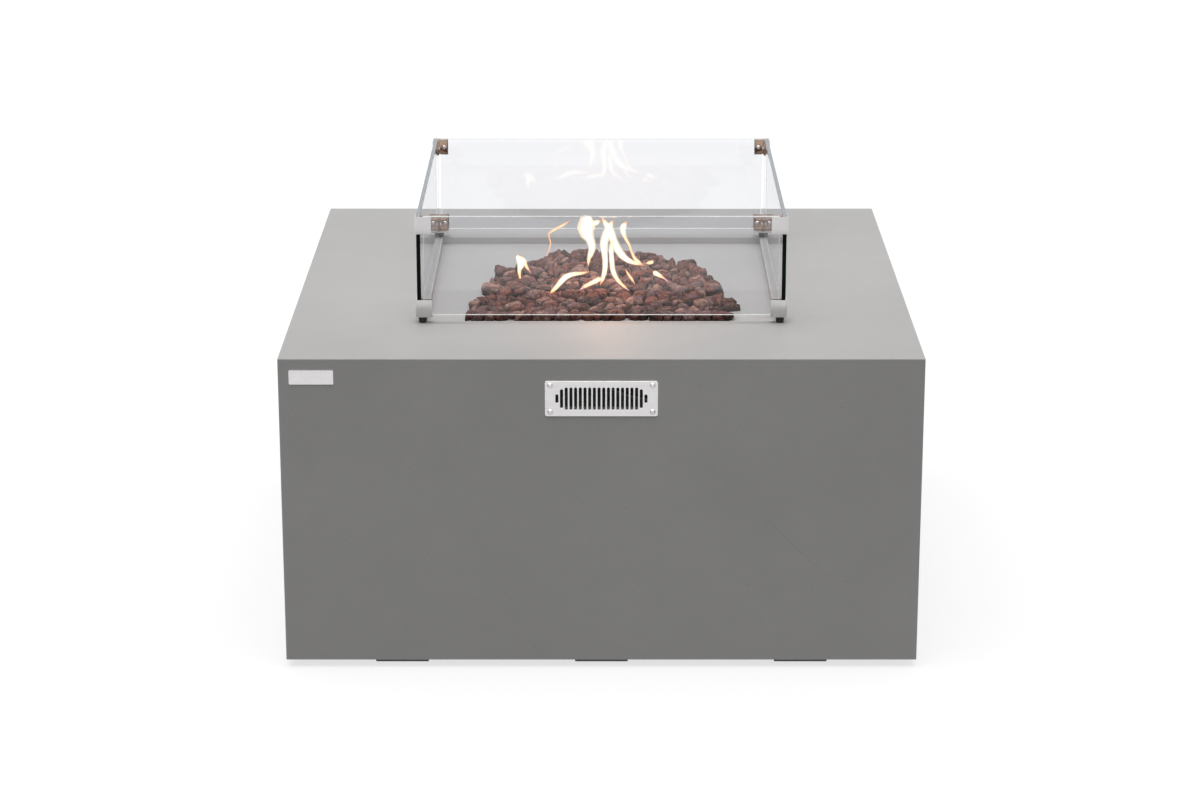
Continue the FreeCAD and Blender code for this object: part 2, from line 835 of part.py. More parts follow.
def make_pilot():
    tail = pan_under - s.pilot_tail
    (burner_x, y), (probe_x, _), (spark_x, _) = pilot_spots()
    tip = pan_floor + s.pilot_height
    pilot = cut("pilot_cut", fuse("pilot_outside", [
        rod("pilot_stem", s.pilot_radius, tip - tail, (burner_x, y, tail)),
        rod("pilot_hood", s.hood_radius, s.hood_height, (burner_x, y, tip))]), [
        rod("pilot_hole", s.pilot_bore, tip - tail + 2, (burner_x, y, tail - 1)),
        box("pilot_mouth", (s.hood_radius * 2, s.hood_radius, s.hood_height - 1),
            (burner_x + s.hood_radius, y), tip + s.mouth_rise)])
    keep(pilot, "pilot_burner")
    probe_top = pan_floor + s.probe_height
    probe = fuse("probe", [rod("probe_rod", s.probe_radius, probe_top - tail, (probe_x, y, tail)),
                           ball("probe_tip", s.probe_radius, (probe_x, y, probe_top))])
    keep(probe, "thermocouple")
    spark = fuse("spark", [
        rod("spark_sleeve", s.electrode_radius, pan_floor + s.electrode_height - tail, (spark_x, y, tail)),
        rod("spark_wire", s.wire_radius, pan_floor + s.wire_height - tail, (spark_x, y, tail))])
    keep(spark, "spark_electrode")
    plate = box("pilot_plate", (s.bracket_length, s.bracket_depth, s.sheet), (0, y), pan_floor)
    back = box("pilot_back", (s.bracket_length, s.sheet, s.bracket_rise),
               (0, y - s.bracket_depth / 2 + s.sheet / 2), pan_floor)
    holes = [rod("pilot_plate_hole", radius + s.pilot_gap, s.sheet + 2, (x, y, pan_floor - 1))
             for (x, _), radius in zip(pilot_spots(), pilot_radii())]
    keep(cut("pilot_bracket_cut", fuse("pilot_bracket_blank", [plate, back]), holes), "pilot_bracket")
    skin = s.shield_sheet
    cover = box("shield_blank", (s.shield_length, s.shield_depth, s.shield_height), (0, y), pan_floor)
    room = (s.shield_length - skin * 2, s.shield_depth, s.shield_height - skin + 1)
    inside = box("shield_room", room, (0, y + skin), pan_floor - 1)
    keep(cut("shield_cut", cover, [inside]), "pilot_shield")


def ball(name, radius, centre):
    item = add("Part::Sphere", name)
    bind(item, Radius=radius)
    return place(item, *centre)


# Lava stones

CUBE = (
    ((-1, -1, -1), (-1, 1, -1), (1, 1, -1), (1, -1, -1)),
    ((-1, -1, 1), (1, -1, 1), (1, 1, 1), (-1, 1, 1)),
    ((-1, -1, -1), (1, -1, -1), (1, -1, 1), (-1, -1, 1)),
    ((-1, 1, -1), (-1, 1, 1), (1, 1, 1), (1, 1, -1)),
    ((-1, -1, -1), (-1, -1, 1), (-1, 1, 1), (-1, 1, -1)),
    ((1, -1, -1), (1, 1, -1), (1, 1, 1), (1, -1, 1)),
)
ON_PLANE = 1e-9
SAME_CORNER = 1e-4
SEAM = 1e-3
SMALLEST_STONE = 200
ROW_SHARE = 0.87
STRAY_SHARE = 0.2
STRAY = 3
SETTLE = 2
HEAP_SQUARENESS = 2.6


def clip(faces, normal, limit):
    """Keeps the side of a convex polyhedron where normal . point <= limit."""
    kept = []
    rim = []
    for face in faces:
        heights = [normal.dot(p) - limit for p in face]
        if max(heights) <= ON_PLANE:
            kept.append(face)
            continue
        if min(heights) >= -ON_PLANE:
            continue
        ring = []
        for at, point in enumerate(face):
            after = (at + 1) % len(face)
            if heights[at] <= 0:
                ring.append(point)
            if (heights[at] < 0) != (heights[after] < 0) and heights[at] != 0 and heights[after] != 0:
                share = heights[at] / (heights[at] - heights[after])
                cross = point + (face[after] - point) * share
                ring.append(cross)
                rim.append(cross)
        if len(ring) > 2:
            kept.append(ring)
    if len(rim) > 2:
        middle = sum(rim, Vector(0, 0, 0)) * (1 / len(rim))
        side = (rim[0] - middle).normalize()
        across = normal.cross(side)
        rim.sort(key=lambda p: math.atan2((p - middle).dot(across), (p - middle).dot(side)))
        cap = [p for at, p in enumerate(rim) if (p - rim[at - 1]).Length > SAME_CORNER / 100]
        if len(cap) > 2:
            kept.append(cap)
    return kept


def cube_faces(centre, reach):
    return [[centre + Vector(*corner) * reach for corner in face] for face in CUBE]


def solid_from(faces):
    """A solid stone from its flat faces, or nothing when too small to be a stone."""
    pieces = []
    for face in faces:
        loop = [p for at, p in enumerate(face) if (p - face[at - 1]).Length > SAME_CORNER]
        if len(loop) > 2:
            pieces.append(Part.Face(Part.makePolygon(loop + [loop[0]])))
    skin = Part.Compound(pieces)
    skin.sewShape(SEAM)
    stone = Part.Solid(skin.Shells[0]) if skin.Shells else None
    if stone is None or not stone.isValid() or abs(stone.Volume) < SMALLEST_STONE:
        return None
    if stone.Volume < 0:
        stone.reverse()
    return stone


def stones_in(seeds, ghosts, planes, reach, floor_at):
    """Cells around the seeds, a gap apart, inside the planes and above a floor that may vary."""
    gap = s.stone_gap.number / 2
    everything = seeds + ghosts
    stones = []
    for seed in seeds:
        faces = cube_faces(seed, reach)
        for other in everything:
            away = other - seed
            distance = away.Length
            if 0.001 < distance < 2 * reach:
                normal = away * (1 / distance)
                faces = clip(faces, normal, normal.dot(seed) + distance / 2 - gap)
        for normal, limit in planes + [(Vector(0, 0, -1), -floor_at(seed))]:
            faces = clip(faces, normal, limit)
        stone = solid_from(faces) if len(faces) > 3 else None
        if stone is not None:
            stones.append(stone)
    return stones


def heap_half_width(y):
    """Half the heap's width at a distance from front to back: full in front, round behind."""
    share = (y + s.heap_front.number) / (s.heap_front.number + s.heap_back.number)
    if share <= 0 or share >= 1:
        return 0
    return s.heap_width.number * math.sqrt(1 - share ** HEAP_SQUARENESS)


def heap_height(x, y):
    """Top of the heap: low at its edge, highest over the burner."""
    far = math.hypot(x / s.heap_width.number, y / ((s.heap_front.number + s.heap_back.number) / 2))
    rise = (s.heap_crown.number - s.heap_edge.number) * max(0, 1 - far ** 2)
    return top.number + s.heap_edge.number + rise


def grid(width, depth, pitch, jitter, rng):
    """Scattered plan points on a staggered grid."""
    spots = []
    rows = int(depth / pitch) + 1
    columns = int(width / pitch) + 1
    for row in range(-rows, rows + 1):
        for column in range(-columns, columns + 1):
            x = (column + 0.5 * (row % 2)) * pitch + rng.uniform(-jitter, jitter)
            y = row * pitch * ROW_SHARE + rng.uniform(-jitter, jitter)
            spots.append((x, y))
    return spots


def heap_stones(rng):
    """The stones that show: one or two deep over the pan's lip and the recess floor."""
    pitch = s.stone_pitch.number
    lip_top = recess_floor.number + s.sheet.number + s.stone_gap.number
    seeds = []
    ghosts = []
    width, depth = s.heap_width.number + pitch, s.heap_front.number + pitch
    for x, y in grid(width, depth, pitch, pitch * STRAY_SHARE, rng):
        deep = heap_height(x, y) - lip_top
        layers = 2 if deep > pitch * 0.8 else 1
        step = deep / layers
        inside = abs(x) < heap_half_width(y) - pitch * 0.35
        for layer in range(layers + 1):
            spot = Vector(x + rng.uniform(-STRAY, STRAY), y + rng.uniform(-STRAY, STRAY),
                          lip_top + step * (layer + 0.5) + rng.uniform(-SETTLE, SETTLE))
            (seeds if inside and layer < layers else ghosts).append(spot)
    margin = pan_rim.number + pitch * 0.7
    on_floor = recess_floor.number + s.stone_gap.number

    def floor_at(seed):
        return on_floor if math.hypot(seed.x, seed.y) > margin else lip_top
    return stones_in(seeds, ghosts, [], pitch, floor_at)


def around(radius, sides):
    """Upright planes that hold a stone inside a circle."""
    flat = radius * math.cos(math.pi / sides)
    turns = [math.tau * at / sides for at in range(sides)]
    return [(Vector(math.cos(t), math.sin(t), 0), flat) for t in turns]


def pan_stones(rng):
    """One layer inside the pan, above the burner and below the lip."""
    pitch = s.pan_stone_pitch.number
    low = burner_axis.number + s.tube_radius.number + s.stone_cover.number
    high = recess_floor.number + s.sheet.number
    inner = s.pan_radius.number - s.sheet.number - s.stone_gap.number
    seeds = [Vector(x, y, (low + high) / 2 + rng.uniform(-SETTLE, SETTLE))
             for x, y in grid(inner, inner, pitch, pitch * STRAY_SHARE, rng)
             if math.hypot(x, y) < inner - pitch * 0.3]
    planes = around(inner, 20) + [(Vector(0, 0, 1), high)]
    return stones_in(seeds, [], planes, pitch * 1.2, lambda seed: low)


def wedge_stone(rng, inner, outer, start, end, low, high):
    """One stone of the ring that packs the pan beside the burner, its corners knocked off."""
    middle = (start + end) / 2
    out = Vector(math.cos(middle), math.sin(middle), 0)
    centre = out * ((inner + outer) / 2) + Vector(0, 0, (low + high) / 2)
    half = (end - start) / 2
    faces = cube_faces(centre, (outer - inner) + (high - low))
    gap = s.stone_gap.number / 2
    planes = [(out, outer * math.cos(half)), (out * -1, -inner),
              (Vector(0, 0, 1), high), (Vector(0, 0, -1), -low),
              (Vector(math.sin(start), -math.cos(start), 0), -gap),
              (Vector(-math.sin(end), math.cos(end), 0), -gap)]
    for normal, limit in planes:
        faces = clip(faces, normal, limit)
    for a in (-1, 1):
        for b in (-1, 1):
            tilt = (out * a + Vector(0, 0, b * rng.uniform(0.7, 1.4))).normalize()
            far = max(tilt.dot(p) for face in faces for p in face)
            faces = clip(faces, tilt, far - rng.uniform(2, 5))
    return solid_from(faces)


def bed_stones(rng):
    """Stones on the pan floor: outside the burner ring, and inside it behind the bar."""
    low = pan_floor.number + s.stone_gap.number
    high = burner_axis.number + s.tube_radius.number + s.stone_cover.number - s.stone_gap.number
    inner = s.ring_radius.number + s.tube_radius.number + s.stone_gap.number
    outer = s.pan_radius.number - s.sheet.number - s.stone_gap.number
    sides = 16
    stones = [wedge_stone(rng, inner, outer, math.tau * at / sides, math.tau * (at + 1) / sides, low, high)
              for at in range(sides)]
    clear = s.hub_radius.number + s.tube_radius.number
    far = s.ring_radius.number - s.tube_radius.number - s.stone_gap.number
    edge = math.asin((s.tube_radius.number + s.stone_gap.number) / clear)
    shares = 4
    step = (math.pi - 2 * edge) / shares
    stones += [wedge_stone(rng, clear, far, edge + step * at, edge + step * (at + 1), low, high)
               for at in range(shares)]
    return [stone for stone in stones if stone is not None]


def make_lava():
    rng = random.Random(7)
    stones = heap_stones(rng) + pan_stones(rng) + bed_stones(rng)
    print(f"lava stones: {len(stones)}")
    item = add("Part::Feature", "lava")
    item.Shape = Part.Compound(stones)
    return keep(item, "lava_stones")


# Vent grilles, name plate and their screws

def end_slots():
    """Offset and height of the shorter slots that step down beside the full ones."""
    rows = []
    for extra, height in ((0.5, s.slot_medium), (1.5, s.slot_short)):
        offset = s.slot_pitch * (SIZES["slots_full"] / 2 + extra)
        rows += [(offset, height), (-offset, height)]
    return rows


def vent_screw_spots():
    return [(a * s.vent_screw_x, vent_level + b * s.vent_screw_z) for a in (-1, 1) for b in (-1, 1)]


def make_vent(side):
    body = new_body(f"{side}_vent")
    turn = None if side == "front" else Turn(Vector(0, 1, 0), 180)
    face = draw_on(body, "XZ_Plane", front if side == "front" else -front, turn=turn)
    draw_rectangle(face, s.vent_width, s.vent_height, (0, vent_level))
    plate = pad(body, face, s.vent_thick)
    soften(body, "Fillet", plate, s.vent_corner, parallel_to(Vector(0, 1, 0)))
    holes = draw_on(body, "XZ_Plane")
    for x, height in end_slots():
        draw_slot(holes, s.slot_width, height, (x, vent_level))
    for x, z in vent_screw_spots():
        draw_circle(holes, s.screw_hole, (x, z))
    pocket(body, holes, both=True)
    steps = int(SIZES["slots_full"]) - 1
    slot = draw_on(body, "XZ_Plane")
    draw_slot(slot, s.slot_width, s.slot_full, (s.slot_pitch * (-steps / 2), vent_level))
    first = pocket(body, slot, both=True)
    row = body.newObject("PartDesign::LinearPattern", f"{side}_slots")
    row.Originals = [first]
    row.Direction = (slot, ["H_Axis"])
    bind(row, Length=s.slot_pitch * steps)
    row.Occurrences = steps + 1
    body.Tip = row
    doc.recompute()
    keep(body, f"{side}_vent_grille")
    way = "+y" if side == "front" else "-y"
    y = (front + s.vent_thick) * (-1 if side == "front" else 1)
    screws = [screw(f"{side}_vent_screw", (x, y, z), way, s.screw_head, s.screw_dome, s.screw_shank,
                    s.screw_length) for x, z in vent_screw_spots()]
    keep(group(f"{side}_screws", screws), f"{side}_vent_screws")


def make_name_plate():
    body = new_body("name")
    face = draw_on(body, "XZ_Plane", front)
    left = s.name_inset + s.name_width / 2 - s.table_width / 2
    draw_rectangle(face, s.name_width, s.name_height, (left, top - s.name_drop))
    plate = pad(body, face, s.name_thick)
    soften(body, "Fillet", plate, s.name_corner, parallel_to(Vector(0, 1, 0)))
    return keep(body, "name_plate")


# Control box, valve and igniter

def make_control_box():
    body = new_body("control")
    rim = draw_on(body, "YZ_Plane", panel_face)
    draw_rectangle(rim, s.box_width + s.box_flange * 2, s.box_height + s.box_flange * 2, (0, control_level))
    pad(body, rim, s.sheet)
    shell = draw_on(body, "YZ_Plane", box_back)
    draw_rectangle(shell, s.box_width, s.box_height, (0, control_level))
    pad(body, shell, s.box_depth)
    room = draw_on(body, "YZ_Plane", panel_face + s.sheet)
    draw_rectangle(room, s.box_width - s.sheet * 2, s.box_height - s.sheet * 2, (0, control_level))
    pocket(body, room, s.box_depth)
    holes = draw_on(body, "YZ_Plane", panel_face + s.sheet)
    for y, z in flange_corners():
        draw_circle(holes, s.screw_hole, (y, z))
    draw_circle(holes, s.stem_hole, (knob_y, control_level))
    draw_circle(holes, s.igniter_neck + s.pilot_gap, (igniter_y, control_level))
    for y, z in valve_screw_spots():
        draw_circle(holes, s.screw_hole, (y, z))
    pocket(body, holes, s.box_depth + s.sheet * 2)
    keep(body, "control_box")
    screws = [screw("box_screw", (panel_face + s.sheet, y, z), "-x", s.screw_head, s.screw_dome,
                    s.screw_shank, s.screw_length) for y, z in flange_corners()]
    keep(group("box_screws", screws), "control_box_screws")


def valve_screw_spots():
    """Centres of the two screws that hold the valve, on a diagonal across the knob."""
    return [(knob_y + s.valve_screw_y * a, control_level + s.valve_screw_y * a) for a in (-1, 1)]


def on_knob_axis(x):
    return (x, knob_y, control_level)


def make_valve():
    rear = box_back - s.valve_length
    half = s.valve_size / 2
    bore = s.plug_radius + s.plug_gap
    bore_end = box_back - s.valve_cap
    bore_start = bore_end - s.plug_length - s.plug_end_gap * 2
    port_x = bore_start + s.plug_end_gap + s.plug_port * 2
    block = fuse("valve_outside", [
        span("valve_block", (rear, knob_y - half, control_level - half),
             (box_back, knob_y + half, control_level + half)),
        rod("valve_outlet", s.valve_boss_radius, s.valve_boss + 1, on_knob_axis(rear - s.valve_boss), "+x")])
    hollows = [
        rod("valve_bore", bore, bore_end - bore_start, on_knob_axis(bore_start), "+x"),
        rod("valve_stem_hole", s.stem_hole, s.valve_cap + 2, on_knob_axis(bore_end - 1), "+x"),
        rod("valve_gas_out", s.valve_passage, bore_start - rear + s.valve_boss + 2,
            on_knob_axis(rear - s.valve_boss - 1), "+x"),
        rod("valve_gas_in", s.valve_passage, half, (port_x, knob_y, control_level - half), "+z"),
        rod("valve_inlet_thread", s.inlet_thread + s.thread_gap, s.inlet_grip + 1.5,
            (port_x, knob_y, control_level - half - 1), "+z")]
    hollows += [rod("valve_screw_hole", s.screw_hole, s.valve_boss, (box_back - s.valve_boss, y, z), "+x")
                for y, z in valve_screw_spots()]
    keep(cut("valve_cut", block, hollows), "valve_body")
    screws = [screw("valve_screw", (box_floor, y, z), "-x", s.screw_head, s.screw_dome, s.screw_shank,
                    s.valve_boss) for y, z in valve_screw_spots()]
    keep(group("valve_screws", screws), "valve_screws")
    plug_start = bore_start + s.plug_end_gap
    plug_end = plug_start + s.plug_length
    plug = cut("plug_cut", rod("plug", s.plug_radius, s.plug_length, on_knob_axis(plug_start), "+x"), [
        rod("plug_socket", s.stem_radius + s.plug_gap, s.plug_socket + 1,
            on_knob_axis(plug_end - s.plug_socket), "+x"),
        rod("plug_way", s.plug_port, s.plug_port * 3 + 1, on_knob_axis(plug_start - 1), "+x"),
        rod("plug_inlet", s.plug_port, s.plug_radius + 1, (port_x, knob_y, control_level), "-z")])
    keep(plug, "valve_plug")
    knob_back = box_floor + s.push_room
    stem_start = plug_end - s.stem_grip
    stem_end = knob_back + s.knob_length - s.stem_recess
    keep(rod("stem", s.stem_radius, stem_end - stem_start, on_knob_axis(stem_start), "+x"), "valve_stem")
    spring = coil("knob_spring", s.spring_radius, s.spring_wire, SIZES["spring_turns"],
                  on_knob_axis(box_floor + s.spring_gap),
                  s.push_room + s.spring_room_depth - s.spring_gap * 2)
    keep(spring, "knob_spring")
    make_knob(knob_back)
    return rear, port_x


def make_knob(back):
    body = new_body("knob")
    centre = (knob_y, control_level)
    disc = draw_on(body, "YZ_Plane", back, centre)
    draw_circle(disc, s.knob_radius)
    blank = pad(body, disc, s.knob_length)
    face = (back + s.knob_length).number
    soften(body, "Fillet", blank, s.knob_round,
           lambda ends, edge: near(ends[0].x, face) and near(ends[1].x, face))
    room = draw_on(body, "YZ_Plane", back, centre)
    draw_circle(room, s.spring_room)
    pocket(body, room, s.spring_room_depth, back=True)
    socket = draw_on(body, "YZ_Plane", back, centre)
    draw_circle(socket, s.stem_radius + s.plug_gap)
    pocket(body, socket, s.knob_length - s.stem_recess + s.plug_gap, back=True)
    pointer = draw_on(body, "YZ_Plane", back + s.knob_length, centre)
    draw_rectangle(pointer, s.pointer_width, s.pointer_length, (0, s.knob_radius - s.pointer_length / 2))
    pocket(body, pointer, s.pointer_depth)
    flute = draw_on(body, "YZ_Plane", back + s.knob_length, centre)
    half_step = math.pi / SIZES["flutes"]
    between = (s.knob_radius * math.sin(half_step), s.knob_radius * math.cos(half_step))
    draw_circle(flute, s.flute_radius, between)
    first = pocket(body, flute, s.knob_length + s.plug_gap)
    spread = body.newObject("PartDesign::PolarPattern", "flutes")
    spread.Originals = [first]
    spread.Axis = (flute, ["N_Axis"])
    spread.Angle = 360
    spread.Occurrences = int(SIZES["flutes"])
    body.Tip = spread
    doc.recompute()
    keep(body, "control_knob")


def make_inlet(port_x):
    under = control_level - s.valve_size / 2
    hex_under = under - s.inlet_body
    end = hex_under - s.flare_length
    fitting = cut("inlet_cut", fuse("inlet_outside", [
        rod("inlet_spigot", s.inlet_thread, s.inlet_body + s.inlet_grip, (port_x, knob_y, hex_under)),
        hexagon("inlet_hex", s.inlet_hex, s.inlet_body, (port_x, knob_y, hex_under)),
        rod("inlet_flare", s.flare_radius, s.flare_length + 1, (port_x, knob_y, end))]), [
        rod("inlet_bore", s.flare_bore, under + s.inlet_grip - end + 2, (port_x, knob_y, end - 1))])
    keep(fitting, "gas_inlet_fitting")


def make_igniter():
    rear = box_back - s.igniter_length
    neck_end = box_back + s.igniter_neck_length
    bore_start = rear + s.igniter_end
    housing = cut("igniter_cut", fuse("igniter_outside", [
        rod("igniter_barrel", s.igniter_radius, s.igniter_length, (rear, igniter_y, control_level), "+x"),
        rod("igniter_neck", s.igniter_neck, neck_end - rear, (rear, igniter_y, control_level), "+x")]), [
        rod("igniter_hole", s.igniter_bore, neck_end - bore_start + 1, (bore_start, igniter_y, control_level),
            "+x")])
    keep(housing, "igniter_housing")
    nut = cut("igniter_nut_cut", hexagon("igniter_nut_blank", s.igniter_nut_across, s.igniter_nut_height,
                                         (box_floor, igniter_y, control_level), "+x"),
              [rod("igniter_nut_hole", s.igniter_neck + s.thread_gap, s.igniter_nut_height + 2,
                   (box_floor - 1, igniter_y, control_level), "+x")])
    keep(nut, "igniter_nut")
    battery_start = bore_start + s.spring_gap
    battery = rod("battery", s.battery_radius, s.battery_length,
                  (battery_start, igniter_y, control_level), "+x")
    keep(battery, "igniter_battery")
    button_start = neck_end + s.button_proud - s.button_length
    body = new_body("button")
    disc = draw_on(body, "YZ_Plane", button_start, (igniter_y, control_level))
    draw_circle(disc, s.igniter_bore - s.button_gap)
    blank = pad(body, disc, s.button_length)
    face = (button_start + s.button_length).number
    soften(body, "Fillet", blank, s.button_round, lambda ends, edge: near(ends[0].x, face))
    keep(body, "igniter_button")
    spring_start = battery_start + s.battery_length + s.spring_gap
    spring = coil("igniter_spring", s.igniter_spring_radius, s.igniter_spring_wire,
                  SIZES["igniter_spring_turns"], (spring_start, igniter_y, control_level),
                  button_start - s.spring_gap - spring_start)
    keep(spring, "igniter_spring")
    return rear


def partway(first, last, share):
    return tied(first) + (tied(last) - tied(first)) * share


def make_leads(valve_rear, igniter_rear):
    """Tube and leads held between the valve, the igniter and the burner.

    Each route is a list of shares: of the way out, of the way across, and of its rise or sag.
    """
    tail = pan_under - s.pilot_tail
    (pilot_x, pilot_y), (probe_x, _), (spark_x, _) = pilot_spots()
    outlet = valve_rear - s.valve_boss
    beside = s.valve_boss

    def route(out, near_y, far_y, rise, shares):
        return [(out * along, partway(near_y, far_y, over), control_level + rise * up)
                for along, over, up in shares]

    supply = route(outlet, tied(0), knob_y, s.supply_sag, [
        (0.13, 0.1, -0.9), (0.35, 0.34, -1), (0.57, 0.63, -0.83), (0.7, 0.9, -0.4), (0.83, 1, 0), (1, 1, 0)])
    start = [(0, 0, jet_end), (0, 0, jet_end - s.supply_drop)]
    keep(tube_along("supply_tube", start + supply, s.supply_radius), "supply_tube")
    pilot = route(valve_rear, pilot_y, knob_y - beside, beside, [
        (0.056, 0, 0), (0.21, 0.2, -1.25), (0.39, 0.35, -1.25), (0.56, 0.5, -0.83), (0.73, 0.7, 0),
        (0.87, 1, 1), (1, 1, 1)])
    start = [(pilot_x, pilot_y, tail), (pilot_x, pilot_y, tail - s.tail_drop)]
    keep(tube_along("pilot_tube", start + pilot, s.pilot_tube_radius), "pilot_tube")
    probe = route(valve_rear, pilot_y, knob_y + beside, beside, [
        (0.085, 0.23, 1.67), (0.225, 0.51, 1), (0.39, 0.74, 0.83), (0.56, 0.89, 1.17), (0.73, 0.97, 0.92),
        (0.87, 1, 1.08), (1, 1, 1.08)])
    start = [(probe_x, pilot_y, tail), (probe_x, pilot_y, tail - s.lead_drop)]
    keep(tube_along("thermocouple_lead", start + probe, s.probe_lead_radius), "thermocouple_lead")
    spark = route(igniter_rear, pilot_y, igniter_y, beside, [
        (0.13, 0.13, 2.83), (0.3, 0.36, 2.33), (0.47, 0.6, 1.67), (0.65, 0.82, 0.83), (0.83, 1, 0),
        (1, 1, 0)])
    start = [(spark_x, pilot_y, tail), (spark_x, pilot_y, tail - s.lead_drop)]
    keep(tube_along("igniter_lead", start + spark, s.spark_lead_radius), "igniter_lead")


# Wind guard

def guard_screw_levels():
    half = s.bracket_height / 2
    return [lower_bracket + half, upper_bracket + half]


def make_panes():
    across = guard_in - s.guard_screw_inset
    for side, a in (("left", -1), ("right", 1)):
        body = new_body(f"{side}_glass")
        face = draw_on(body, "YZ_Plane", guard_in if a > 0 else -guard_out)
        draw_rectangle(face, s.guard_width, s.glass_height, (0, glass_under + s.glass_height / 2))
        finish_pane(body, pad(body, face, s.glass), "YZ_Plane", across)
        keep(body, f"{side}_pane")
    for side, a in (("front", 1), ("rear", -1)):
        body = new_body(f"{side}_glass")
        face = draw_on(body, "XZ_Plane", guard_in if a > 0 else -guard_out)
        width = (guard_in - s.glass_corner_gap) * 2
        draw_rectangle(face, width, s.glass_height, (0, glass_under + s.glass_height / 2))
        finish_pane(body, pad(body, face, s.glass), "XZ_Plane", across)
        keep(body, f"{side}_pane")


def finish_pane(body, blank, plane, across):
    soften(body, "Chamfer", blank, s.glass_edge, lambda ends, edge: True)
    holes = draw_on(body, plane)
    for a in (-1, 1):
        for z in guard_screw_levels():
            draw_circle(holes, s.glass_hole, (across * a, z))
    pocket(body, holes, both=True)


def corner_box(name, a, b, low, high):
    """A box whose plan corners are given for the +X +Y corner and mirrored to corner (a, b)."""
    xs = (low[0], high[0]) if a > 0 else (-tied(high[0]), -tied(low[0]))
    ys = (low[1], high[1]) if b > 0 else (-tied(high[1]), -tied(low[1]))
    return span(name, (xs[0], ys[0], low[2]), (xs[1], ys[1], high[2]))


def make_brackets():
    outer = guard_out + s.bracket_sheet
    leg_end = outer - s.bracket_leg
    leaf_end = guard_in - s.leaf_leg
    leaf_face = guard_in - s.bracket_sheet
    screw_at = guard_in - s.guard_screw_inset
    foot_at = outer - s.guard_screw_inset
    screws = []
    feet = []
    for level, base, screw_level in (("lower", lower_bracket, guard_screw_levels()[0]),
                                     ("upper", upper_bracket, guard_screw_levels()[1])):
        ceiling = base + s.bracket_height
        leaf_under = base + s.bracket_sheet + s.leaf_gap
        plates = []
        leaves = []
        for a in (-1, 1):
            for b in (-1, 1):
                legs = [corner_box("plate_leg", a, b, (guard_out, leg_end, base), (outer, outer, ceiling)),
                        corner_box("plate_leg", a, b, (leg_end, guard_out, base), (outer, outer, ceiling))]
                way_x, way_y = ("+x" if a > 0 else "-x"), ("+y" if b > 0 else "-y")
                bite = s.guard_screw_bite + s.thread_gap
                holes = [rod("plate_hole", s.guard_screw_shank + s.thread_gap, bite + 1,
                             ((guard_out - 1) * a, screw_at * b, screw_level), way_x),
                         rod("plate_hole", s.guard_screw_shank + s.thread_gap, bite + 1,
                             (screw_at * a, (guard_out - 1) * b, screw_level), way_y)]
                if level == "lower":
                    legs.append(corner_box("plate_sole", a, b, (leg_end, leg_end, base),
                                           (outer, outer, base + s.bracket_sheet)))
                    holes.append(rod("sole_hole", s.guard_foot_stud + s.thread_gap, s.bracket_sheet + 2,
                                     (foot_at * a, foot_at * b, base - 1)))
                    feet.append(guard_foot(foot_at * a, foot_at * b))
                plates.append(cut("plate", fuse("plate_blank", legs), holes))
                inner = [corner_box("leaf_leg", a, b, (leaf_face, leaf_end, leaf_under),
                                    (guard_in, guard_in, ceiling)),
                         corner_box("leaf_leg", a, b, (leaf_end, leaf_face, leaf_under),
                                    (guard_in, guard_in, ceiling))]
                leaf_holes = [rod("leaf_hole", s.leaf_hole, s.bracket_sheet + 2,
                                  ((leaf_face - 1) * a, screw_at * b, screw_level), way_x),
                              rod("leaf_hole", s.leaf_hole, s.bracket_sheet + 2,
                                  (screw_at * a, (leaf_face - 1) * b, screw_level), way_y)]
                leaves.append(cut("leaf", fuse("leaf_blank", inner), leaf_holes))
                length = s.bracket_sheet + s.glass + s.guard_screw_bite
                for point, way in (((leaf_face * a, screw_at * b, screw_level), way_x),
                                   ((screw_at * a, leaf_face * b, screw_level), way_y)):
                    screws.append(screw("guard_screw", point, way, s.guard_screw_head, s.guard_screw_dome,
                                        s.guard_screw_shank, length))
        keep(group(f"{level}_plates", plates), f"{level}_corner_brackets")
        keep(group(f"{level}_leaves", leaves), f"{level}_clamp_leaves")
    keep(group("guard_screws", screws), "guard_screws")
    keep(group("guard_feet", feet), "guard_feet")


def guard_foot(x, y):
    """A tapered rubber foot with a stud that grips the bracket's sole."""
    cone = add("Part::Cone", "guard_foot")
    bind(cone, Radius1=s.guard_foot_bottom, Radius2=s.guard_foot_top, Height=s.guard_foot_height)
    place(cone, x, y, top)
    stud = rod("guard_foot_stud", s.guard_foot_stud, s.guard_foot_stud_length + 1, (x, y, lower_bracket - 1))
    return fuse("guard_foot_whole", [cone, stud])


# Build, check and write

def check_document():
    """Stops on a failed object, a cut that cuts nothing, or a sub-part that is empty or not valid."""
    for item in doc.Objects:
        if {"Invalid", "Error"} & set(item.State):
            raise ValueError(f"{item.Name} failed: {item.State}")
        if item.TypeId in ("PartDesign::Pocket", "PartDesign::PolarPattern", "PartDesign::LinearPattern"):
            if item.Shape.Volume > item.BaseFeature.Shape.Volume - 0.01:
                raise ValueError(f"{item.Name} cuts nothing")
    for item in parts:
        if item.Shape.isNull() or not item.Shape.isValid() or not item.Shape.Solids:
            raise ValueError(f"{item.Label} has no valid shape")


def write_parts():
    for item in parts:
        item.Shape.exportStep(f"parts/{item.Label}.step")
    print(f"{len(parts)} sub-parts written")


make_shell()
make_feet()
make_pan()
make_burner()
make_burner_posts()
make_feed()
make_pilot()
make_lava()
for vent_side in ("front", "rear"):
    make_vent(vent_side)
make_name_plate()
make_control_box()
valve_rear_face, inlet_x = make_valve()
make_inlet(inlet_x)
make_base_ring(inlet_x)
igniter_rear_face = make_igniter()
make_leads(valve_rear_face, igniter_rear_face)
make_panes()
make_brackets()
doc.recompute()
check_document()
write_parts()
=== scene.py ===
"""Looks for a square concrete fire table with a loose glass wind guard."""

